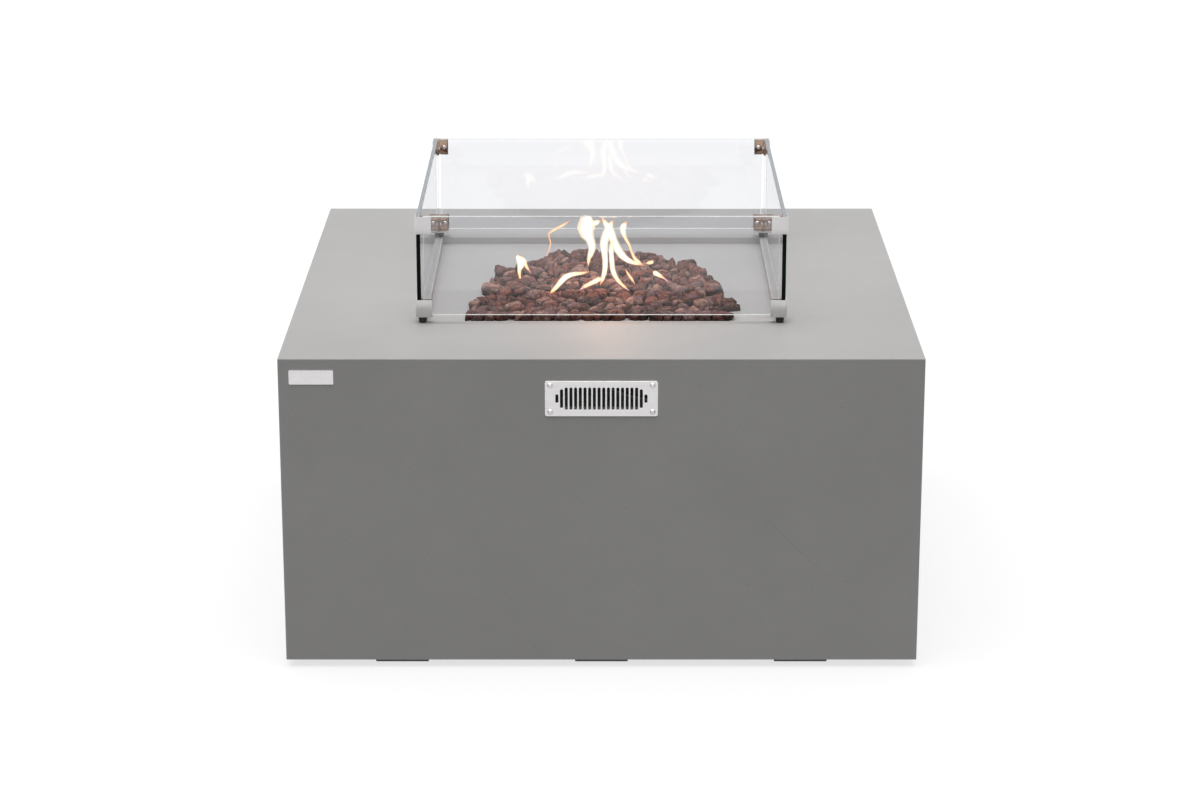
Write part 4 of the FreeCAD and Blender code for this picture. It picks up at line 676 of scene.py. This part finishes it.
def stone_cells(mesh):
    """The place of every flat-faced stone in a mesh: a middle and a list of (normal, distance) planes."""
    bm = bmesh.new()
    bm.from_mesh(mesh)
    bmesh.ops.remove_doubles(bm, verts=bm.verts, dist=MERGE)
    bmesh.ops.dissolve_limit(bm, angle_limit=math.radians(2), verts=bm.verts, edges=bm.edges)
    bmesh.ops.recalc_face_normals(bm, faces=bm.faces)
    cells = []
    known = set()
    for start in bm.faces:
        if start in known:
            continue
        known.add(start)
        faces, queue = [], [start]
        while queue:
            face = queue.pop()
            faces.append(face)
            for other in [near for edge in face.edges for near in edge.link_faces]:
                if other not in known:
                    known.add(other)
                    queue.append(other)
        corners = [vert.co for face in faces for vert in face.verts]
        middle = sum(corners, Vector()) / len(corners)
        planes = [(face.normal.copy(), face.normal.dot(face.verts[0].co - middle)) for face in faces]
        cells.append((middle, planes))
    bm.free()
    return cells


CUT_TILT = 0.6
CUT_PLACE = (0.42, 0.52)


def split_cell(middle, planes, chance):
    """Share a stone's place between two stones, either side of a cut near its middle."""
    cut = Vector([chance.uniform(-most, most) for most in (1, 1, CUT_TILT)]).normalized()
    halves = []
    for side in (cut, -cut):
        reach = min(distance / -side.dot(normal) for normal, distance in planes if side.dot(normal) < -0.1)
        shift = -side * reach * chance.uniform(*CUT_PLACE)
        inner = [(normal, distance - normal.dot(shift)) for normal, distance in planes]
        halves.append((middle + shift, inner + [(side, -side.dot(shift))]))
    return halves


def broken_stones(middle, planes, looks, chance):
    """The places of the one to four stones that a place over the pan is broken up into."""
    if middle.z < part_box("burner_pan")[1].z or chance.random() >= looks.broken:
        return [(middle, planes)]
    stones = []
    for half in split_cell(middle, planes, chance):
        stones += split_cell(*half, chance) if chance.random() < looks.crumbled else [half]
    return stones


SQUARENESS = (4.0, 8.0)
STONE_SIZES = (0.94, 1.1)
STONE_LUMPS = ((1.5, 1.0), (3.2, 0.55), (7.0, 0.3))
# Painted shade under the stones: how strongly a point is darkened by how far it faces down, with a lighter
# cap for the stones at the foot.
FOOT_SWELL, FOOT_UNDERSIDE_SHADE = 1.12, 0.6
UNDERSIDE_SHADE_LEVEL, UNDERSIDE_SHADE_FADE = 0.62, 1.25


def add_stone(bm, middle, planes, looks, chance):
    """Add a lumpy stone that fills most of its place and turn its corners round."""
    shade, underside_shade_mask = bm.verts.layers.float["stone_shade"], bm.verts.layers.float["stone_underside_shade"]
    fullness = chance.uniform(*SQUARENESS)
    size = looks.fill * chance.uniform(*STONE_SIZES)
    above = middle.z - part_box("burner_pan")[1].z
    at_foot = 0.0 < above < looks.foot
    if at_foot:
        size *= FOOT_SWELL
    own = chance.random()
    drift = Vector((chance.random(), chance.random(), chance.random())) * 50
    sink = max(0.0, above) * (1 - looks.settle)
    for vert in bmesh.ops.create_icosphere(bm, subdivisions=2, radius=1.0)["verts"]:
        way = vert.co.normalized()
        crowd = sum(max(0.0, way.dot(normal) / distance) ** fullness for normal, distance in planes)
        lump = sum(height * noise.noise(way * detail + drift) for detail, height in STONE_LUMPS)
        vert.co = middle + way * crowd ** (-1 / fullness) * size * (1 + looks.lumps * lump)
        vert.co.z -= sink
        vert[shade] = own
        # Painted shade: points that face sideways or down are marked for darkening, less at the foot of the
        # heap.
        vert[underside_shade_mask] = min(FOOT_UNDERSIDE_SHADE if at_foot else 1.0, max(0.0, UNDERSIDE_SHADE_LEVEL - UNDERSIDE_SHADE_FADE * way.z))


class FIRETABLE_OT_lava(bpy.types.Operator):
    """Heaps rough lava stones over the burner"""
    bl_idname = "fire_table.lava"
    bl_label = "Lava Stones"

    def execute(self, context):
        looks = context.scene.fire_table_heap
        chance = random.Random(looks.seed)
        bm = bmesh.new()
        for middle, planes in stone_cells(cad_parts["lava_stones"].data):
            for spot, faces in broken_stones(middle, planes, looks, chance):
                stone = bmesh.new()
                stone.verts.layers.float.new("stone_shade")
                stone.verts.layers.float.new("stone_underside_shade")
                add_stone(stone, spot, faces, looks, chance)
                add_part(bm, stone)
        finish_piece(bm, "lava_heap", TABLE, ["lava"], ["lava_stones"], angle=180)
        return {"FINISHED"}


# Each flame from root to tip or back: x, y and height over the table, and half width, in millimetres
FLAMES = [
    [(-128, -20, 41, 0.5), (-128, -22, 37, 4.0), (-124, -25, 32, 7.2), (-124, -28, 26, 5.5),
     (-126, -32, 19, 3.1), (-125, -38, 11, 2.0), (-122, -45, 1, 0.5)],
    [(-124, -22, 38, 1.8), (-119, -25, 32, 4.0), (-115, -28, 24, 2.5), (-109, -32, 16, 0.5)],
    [(-86, -10, 34, 0.3), (-81, -12, 47, 0.8), (-78, -12, 57, 1.0), (-80, -12, 66, 1.0), (-80, -12, 73, 1.3),
     (-71, -12, 79, 2.0), (-60, -12, 85, 2.0), (-48, -12, 93, 0.3)],
    [(-79, -125, 4, 0.5), (-74, -118, 9, 2.6), (-67, -108, 14, 3.6), (-60, -98, 20, 4.4),
     (-52, -90, 25, 4.4), (-42, -85, 27, 3.6), (-31, -80, 27, 2.6), (-18, -78, 29, 0.5)],
    [(-34, -110, 8, 0.5), (-25, -105, 13, 2.9), (-14, -98, 17, 3.5), (-5, -92, 20, 3.8), (1, -90, 23, 0.9)],
    [(-19, -58, 109, 6.5), (-21, -58, 104, 12.0), (-23, -60, 94, 13.6), (-22, -60, 85, 10.9),
     (-17, -62, 75, 6.9), (-14, -64, 64, 5.8), (-16, -66, 55, 4.6), (-19, -68, 46, 2.9),
     (-20, -70, 35, 0.5)],
    [(-14, -58, 98, 4.0), (-7, -58, 101, 4.0), (-1, -58, 104, 0.5)],
    [(18, -55, 104, 0.5), (13, -56, 95, 4.6), (8, -58, 83, 6.7), (4, -60, 69, 6.4), (5, -64, 54, 4.9),
     (6, -70, 42, 4.3), (5, -78, 30, 4.0), (2, -88, 21, 3.3), (-2, -98, 13, 0.5)],
    [(1, -55, 108, 0.5), (7, -56, 98, 4.0), (14, -56, 88, 5.5), (18, -56, 74, 6.1), (24, -56, 61, 6.1),
     (31, -56, 50, 5.8), (40, -56, 42, 4.4), (51, -56, 37, 3.1), (62, -56, 34, 0.5)],
    [(16, -62, 73, 2.1), (15, -66, 59, 3.7), (16, -72, 44, 4.0), (18, -82, 31, 4.0), (24, -92, 21, 3.2),
     (33, -100, 13, 2.3), (42, -108, 7, 0.5)],
    [(39, -40, 98, 0.5), (34, -40, 91, 4.7), (33, -40, 84, 4.3), (37, -40, 72, 2.6), (43, -40, 61, 2.0),
     (46, -42, 52, 1.8), (51, -46, 42, 2.6), (57, -50, 37, 2.8), (64, -52, 32, 0.5)],
    [(69, -20, 27, 0.5), (73, -20, 28, 2.9), (78, -20, 29, 3.1), (81, -20, 29, 0.5)],
    [(78, -70, 27, 0.6), (82, -70, 25, 4.1), (88, -72, 22, 3.4), (94, -76, 19, 1.8), (102, -80, 14, 0.5)],
    [(37, -80, 33, 0.5), (41, -85, 27, 2.0), (46, -90, 21, 2.1), (51, -96, 14, 0.5)],
]

STEPS_PER_POINT = 4
ROOT_HEIGHT = 0.024
ROOT_LENGTH = 0.004
ROOT_WARMTH = 0.1
FULL_WIDTH = 0.005


def flame_stations(points):
    """Places, half widths and heats along a smooth line through a flame's points, in metres."""
    points = [(Vector(point[:3]) * MM + Vector((0, 0, TABLE_TOP)), point[3] * MM) for point in points]
    lowest = min(spot.z for spot, half in points)
    blue_to = lowest + ROOT_LENGTH if lowest < TABLE_TOP + ROOT_HEIGHT else lowest
    padded = [points[0]] + points + [points[-1]]
    stations = []
    for before, here, there, after in zip(padded, padded[1:], padded[2:], padded[3:]):
        for step in range(STEPS_PER_POINT):
            t = step / STEPS_PER_POINT
            ease = t * t * (3 - 2 * t)
            spot = 0.5 * (2 * here[0] + (there[0] - before[0]) * t
                          + (2 * before[0] - 5 * here[0] + 4 * there[0] - after[0]) * t ** 2
                          + (3 * here[0] - before[0] - 3 * there[0] + after[0]) * t ** 3)
            stations.append((spot, here[1] + (there[1] - here[1]) * ease))
    stations.append(points[-1])
    return [(spot, half, ROOT_WARMTH if spot.z < blue_to else min(1.0, half / FULL_WIDTH))
            for spot, half in stations]


def add_tongue(bm, stations, swell, heat):
    """Add a closed tongue of flame: rings along its line, bridged and closed at both ends."""
    rings = []
    for number, (spot, half, warmth) in enumerate(stations):
        ahead = stations[min(number + 1, len(stations) - 1)][0] - stations[max(number - 1, 0)][0]
        turn = ahead.to_track_quat("Z", "Y").to_matrix().to_4x4()
        thin = Matrix.Diagonal((1.0, 0.7, 1.0, 1.0))
        ring = bmesh.ops.create_circle(bm, segments=12, radius=half * swell,
                                       matrix=Matrix.Translation(spot) @ thin @ turn)["verts"]
        for vert in ring:
            vert[heat] = warmth
        rings.append(list({edge for vert in ring for edge in vert.link_edges}))
    for lower, upper in zip(rings, rings[1:]):
        bmesh.ops.bridge_loops(bm, edges=lower + upper)
    bmesh.ops.holes_fill(bm, edges=rings[0] + rings[-1], sides=0)


class FIRETABLE_OT_flames(bpy.types.Operator):
    """Lights the gas: each tongue is a pale core in an orange veil"""
    bl_idname = "fire_table.flames"
    bl_label = "Flames"

    def execute(self, context):
        looks = context.scene.fire_table_flames
        layers = (("flame_veils", "flame_veil", 1.0), ("flame_cores", "flame_core", looks.core))
        for name, look, swell in layers:
            bm = bmesh.new()
            heat = bm.verts.layers.float.new("warmth")
            for points in FLAMES:
                add_tongue(bm, flame_stations(points), swell, heat)
            bmesh.ops.recalc_face_normals(bm, faces=bm.faces)
            finish_piece(bm, name, TABLE, [look], angle=180)
        for name, kind, tilt in (("flame_glow", "POINT", 0), ("flame_sheen", "SPOT", -65)):
            glow = bpy.data.lights.new(name, kind)
            glow.energy = looks.glow
            glow.color = (1.0, 0.5, 0.3)
            glow.shadow_soft_size = 0.04
            lamp = put(name, glow, (0.008, -0.08, TABLE_TOP + 0.09), (tilt, 0))
            if kind == "SPOT":
                glow.spot_size = math.radians(100)
                glow.spot_blend = 1.0
            else:
                lamp.visible_glossy = False
                lamp.visible_transmission = False
        return {"FINISHED"}


class FIRETABLE_OT_panes(bpy.types.Operator):
    """Makes the four glass panes with ground rims"""
    bl_idname = "fire_table.panes"
    bl_label = "Glass Panes"

    def execute(self, context):
        looks = context.scene.fire_table_guard
        for side in ("front", "rear", "left", "right"):
            low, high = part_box(f"{side}_pane")
            through = 1 if side in ("front", "rear") else 0
            bm = block(bmesh.new(), low, high, looks.pane_easing)
            looks_used = ["glass", "glass_rim", "glass_end", "glass_crest"]
            for face in bm.faces:
                if abs(face.normal[through]) > 0.9:
                    face.material_index = 0
                elif through:
                    face.material_index = 1
                elif abs(face.normal.y) > 0.9:
                    face.material_index = 2
                else:
                    face.material_index = 3 if face.normal.z > 0.5 else 1
            finish_piece(bm, f"{side}_glass", GUARD, looks_used, [f"{side}_pane"], angle=20)
        return {"FINISHED"}


class FIRETABLE_OT_brackets(bpy.types.Operator):
    """Bends the corner brackets and the clamp leaves inside them"""
    bl_idname = "fire_table.brackets"
    bl_label = "Corner Brackets"

    def execute(self, context):
        looks = context.scene.fire_table_guard
        easing, sheet = looks.bracket_easing, 0.002
        kinds = (("brackets", "corner_brackets", "bracket_steel", 0.024),
                 ("leaves", "clamp_leaves", "leaf", 0.015))
        for level in ("lower", "upper"):
            for name, node, look, leg in kinds:
                low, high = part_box(f"{level}_{node}")
                outer, height = high.x, high.z - low.z
                near, inner = outer - leg, outer - sheet
                bm = bmesh.new()
                for x, y in ((-1, -1), (-1, 1), (1, -1), (1, 1)):
                    where = Matrix.Diagonal((x, y, 1, 1)) @ Matrix.Translation((0, 0, low.z))
                    part = prism([(near, outer), (near, inner), (inner, inner), (inner, near), (outer, near),
                                  (outer, outer)], height)
                    if name == "brackets":
                        corner = Vector((outer, outer))
                        bends = [edge for edge in part.edges
                                 if all((vert.co.xy - corner).length < MERGE for vert in edge.verts)]
                        soften(part, bends, looks.bend, 5)
                    soften(part, sharp_edges(part, 50), easing, clamp=True)
                    add_part(bm, part, where)
                    if name == "brackets" and level == "lower":
                        sole = block(bmesh.new(), (near, near, 0), (inner, inner, sheet), easing)
                        add_part(bm, sole, where)
                finish_piece(bm, f"{level}_{name}", GUARD, [look], [f"{level}_{node}"])
        return {"FINISHED"}


def rounded_loop(bm, width, height, corner, middle, depth):
    """Add the edges of an upright rounded rectangle, at its middle along X and a depth along Y."""
    known = set(bm.edges)
    where = (Matrix.Translation((middle, depth, 0.0)) @ Matrix.Rotation(math.pi / 2, 4, "X")
             @ Matrix.Diagonal((width, height, 1.0, 1.0)))
    made = bmesh.ops.create_grid(bm, x_segments=1, y_segments=1, size=0.5, matrix=where)
    bmesh.ops.bevel(bm, geom=made["verts"], offset=corner, segments=4, profile=0.5, affect="VERTICES",
                    material=-1)
    edges = [edge for edge in bm.edges if edge not in known]
    faces = {face for edge in edges for face in edge.link_faces}
    bmesh.ops.delete(bm, geom=list(faces), context="FACES_ONLY")
    return edges


class FIRETABLE_OT_vents(bpy.types.Operator):
    """Stamps the slotted vent plates, front and rear"""
    bl_idname = "fire_table.vents"
    bl_label = "Vent Grilles"

    def execute(self, context):
        easing = context.scene.fire_table_metal.vent_easing
        pitch, slot, tall, medium, short = 0.00663, 0.0042, 0.033, 0.0277, 0.0126
        slots = [(pitch * (number - 7.5), tall) for number in range(16)]
        slots += [(side * pitch * 8.5, medium) for side in (-1, 1)]
        slots += [(side * pitch * 9.5, short) for side in (-1, 1)]
        for side in ("front", "rear"):
            low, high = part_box(f"{side}_vent_grille")
            width, height, thick = high.x - low.x, high.z - low.z, high.y - low.y
            level = (low.z + high.z) / 2
            bm = bmesh.new()
            face_edges, back_edges = [], []
            plates = [(0.0, width, height, 0.003, 1)]
            plates += [(x, slot, tall_here, slot * 0.49, -1) for x, tall_here in slots]
            for x, wide, tall_here, corner, way in plates:
                inset = easing * way
                loops = [rounded_loop(bm, wide - 2 * inset, tall_here - 2 * inset, corner - inset, x, -thick),
                         rounded_loop(bm, wide, tall_here, corner, x, -thick + easing),
                         rounded_loop(bm, wide, tall_here, corner, x, 0.0)]
                face_edges += loops[0]
                back_edges += loops[2]
                for first, second in zip(loops, loops[1:]):
                    bmesh.ops.bridge_loops(bm, edges=first + second)
            for edges in (face_edges, back_edges):
                bmesh.ops.triangle_fill(bm, use_beauty=True, use_dissolve=False, edges=edges)
            bmesh.ops.recalc_face_normals(bm, faces=bm.faces)
            if side == "front":
                where = Matrix.Translation((0, high.y, level))
            else:
                where = Matrix.Translation((0, low.y, level)) @ Matrix.Rotation(math.pi, 4, "Z")
            bmesh.ops.transform(bm, matrix=where, verts=bm.verts)
            finish_piece(bm, f"{side}_vent", TABLE, ["stainless"], [f"{side}_vent_grille"])
        return {"FINISHED"}


class FIRETABLE_OT_name_plate(bpy.types.Operator):
    """Fixes a plain brushed plate to the front"""
    bl_idname = "fire_table.name_plate"
    bl_label = "Plain Plate"

    def execute(self, context):
        easing = context.scene.fire_table_metal.plate_easing
        bm = block(bmesh.new(), *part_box("name_plate"), easing, corner=(1, 0.0015))
        finish_piece(bm, "plain_plate", TABLE, ["plate"], ["name_plate"])
        return {"FINISHED"}


def panel_text(text, size, spot, lift):
    """A bmesh of raised letters on the control panel, which faces +X."""
    curve = bpy.data.curves.new("letters", "FONT")
    curve.body = text
    curve.size = size
    curve.extrude = lift / 2
    curve.align_x = "CENTER"
    curve.align_y = "CENTER"
    letters = bpy.data.objects.new("letters", curve)
    mesh = bpy.data.meshes.new_from_object(letters)
    bm = bmesh.new()
    bm.from_mesh(mesh)
    bpy.data.objects.remove(letters)
    bpy.data.curves.remove(curve)
    bpy.data.meshes.remove(mesh)
    upright = Matrix(((0, 0, 1, 0), (1, 0, 0, 0), (0, 1, 0, 0), (0, 0, 0, 1)))
    bmesh.ops.transform(bm, matrix=Matrix.Translation(spot) @ upright, verts=bm.verts)
    return bm


GRIPS = 12
GRIP_DEPTH, GRIP_FOOT, GRIP_TOP = 0.055, 0.004, 0.0006
DIAL_REACH = 1.3


class FIRETABLE_OT_controls(bpy.types.Operator):
    """Makes the gas knob and the marks of its dial"""
    bl_idname = "fire_table.controls"
    bl_label = "Gas Knob and Dial"

    def execute(self, context):
        lift = context.scene.fire_table_metal.mark_height
        low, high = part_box("control_knob")
        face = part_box("igniter_nut")[0].x
        y, z, radius = (low.y + high.y) / 2, (low.z + high.z) / 2, (high.z - low.z) / 2
        deep = high.x - low.x
        to_side = Matrix.Rotation(math.pi / 2, 4, "Y")
        skirt = [(0.44, 0.006), (0.44, 0.0), (0.93, 0.0), (1.0, 0.0008), (1.0, 0.003), (0.985, 0.0045)]
        crown = [(0.93, 0.003), (0.9, 0.001), (0.84, 0.0), (0.7, 0.0004), (0.35, 0.0012), (0.0, 0.0014)]
        outline = skirt + [(0.96, deep * 0.5)] + [(across, deep - down) for across, down in crown]
        knob = turned([(radius * across, up) for across, up in outline], steps=120)
        for vert in knob.verts:
            if GRIP_FOOT < vert.co.z < deep - GRIP_TOP and vert.co.xy.length > radius * 0.86:
                wave = max(0.0, math.cos(GRIPS * math.atan2(vert.co.y, vert.co.x))) ** 2
                vert.co.xy *= 1 - GRIP_DEPTH * wave
        bm = bmesh.new()
        add_part(bm, knob, Matrix.Translation((low.x, y, z)) @ to_side)
        pointer = block(bmesh.new(), (low.x + deep - 0.0016, y - 0.001, z + radius * 0.3),
                        (low.x + deep - 0.0002, y + 0.001, z + radius * 0.82), 0.0003)
        for item in pointer.faces:
            item.material_index = 1
        add_part(bm, pointer)
        finish_piece(bm, "gas_knob", "control_knob", ["black_plastic", "dial_paint"], ["control_knob"])
        bm = bmesh.new()
        reach = radius * DIAL_REACH
        for number in range(7):
            angle = math.radians(-90 + 30 * number)
            size = 0.0009 + 0.00022 * number
            outline = [(0.0, 0.0), (size, 0.0), (size, lift * 0.7), (size * 0.8, lift), (0.0, lift)]
            spot = Vector((face, y + math.sin(angle) * reach, z + math.cos(angle) * reach))
            add_part(bm, turned(outline, steps=20), Matrix.Translation(spot) @ to_side)
        for text, side in (("OFF", -1), ("ON", 1)):
            add_part(bm, panel_text(text, 0.0065, (face + lift / 2, y + side * reach, z - 0.0085), lift))
        finish_piece(bm, "dial_marks", TABLE, ["dial_paint"])
        return {"FINISHED"}


class FIRETABLE_OT_springs(bpy.types.Operator):
    """Copies the return springs of the knob and the button, with their doubled points merged"""
    bl_idname = "fire_table.springs"
    bl_label = "Return Springs"

    def execute(self, context):
        springs = (("knob_spring", "knob_push", 0.004), ("igniter_spring", "igniter_push", 0.003))
        for name, joint, travel in springs:
            bm = bmesh.new()
            bm.from_mesh(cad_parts[name].data)
            bmesh.ops.remove_doubles(bm, verts=bm.verts, dist=MERGE)
            coil = finish_piece(bm, f"{name}_coil", TABLE, ["spring_steel"], [name])
            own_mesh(coil)
        return {"FINISHED"}


class FIRETABLE_PT_panel(bpy.types.Panel):
    """Lists the pieces of the fire table and their sizes and colours"""
    bl_idname = "FIRETABLE_PT_panel"
    bl_label = "Fire Table"
    bl_space_type = "VIEW_3D"
    bl_region_type = "UI"
    bl_category = "Fire Table"

    def draw(self, context):
        layout = self.layout
        for operator in OPERATORS:
            layout.operator(operator.bl_idname, text=operator.bl_label)
        for name, group in PROPERTY_GROUPS.items():
            column = layout.column(heading=name.replace("fire_table_", "").title())
            for label in group.__annotations__:
                column.prop(getattr(context.scene, name), label)


OPERATORS = [
    FIRETABLE_OT_stage, FIRETABLE_OT_dress, FIRETABLE_OT_lava, FIRETABLE_OT_flames, FIRETABLE_OT_panes,
    FIRETABLE_OT_brackets, FIRETABLE_OT_vents, FIRETABLE_OT_name_plate, FIRETABLE_OT_controls,
    FIRETABLE_OT_springs,
]
CLASSES = (*PROPERTY_GROUPS.values(), *OPERATORS, FIRETABLE_PT_panel)


def register():
    """Register the classes and hang the sizes and colours on the scene."""
    for item in CLASSES:
        bpy.utils.register_class(item)
    for name, group in PROPERTY_GROUPS.items():
        setattr(bpy.types.Scene, name, PointerProperty(type=group))


def unregister():
    """Take the classes and the scene's settings away again."""
    for name in PROPERTY_GROUPS:
        delattr(bpy.types.Scene, name)
    for item in reversed(CLASSES):
        bpy.utils.unregister_class(item)


def main():
    """Dress the whole object."""
    register()
    for operator in OPERATORS:
        call = getattr(bpy.ops.fire_table, operator.bl_idname.split(".")[1])
        if call() != {"FINISHED"}:
            raise RuntimeError(f"{operator.bl_label} did not finish")


if __name__ == "__main__":
    main()
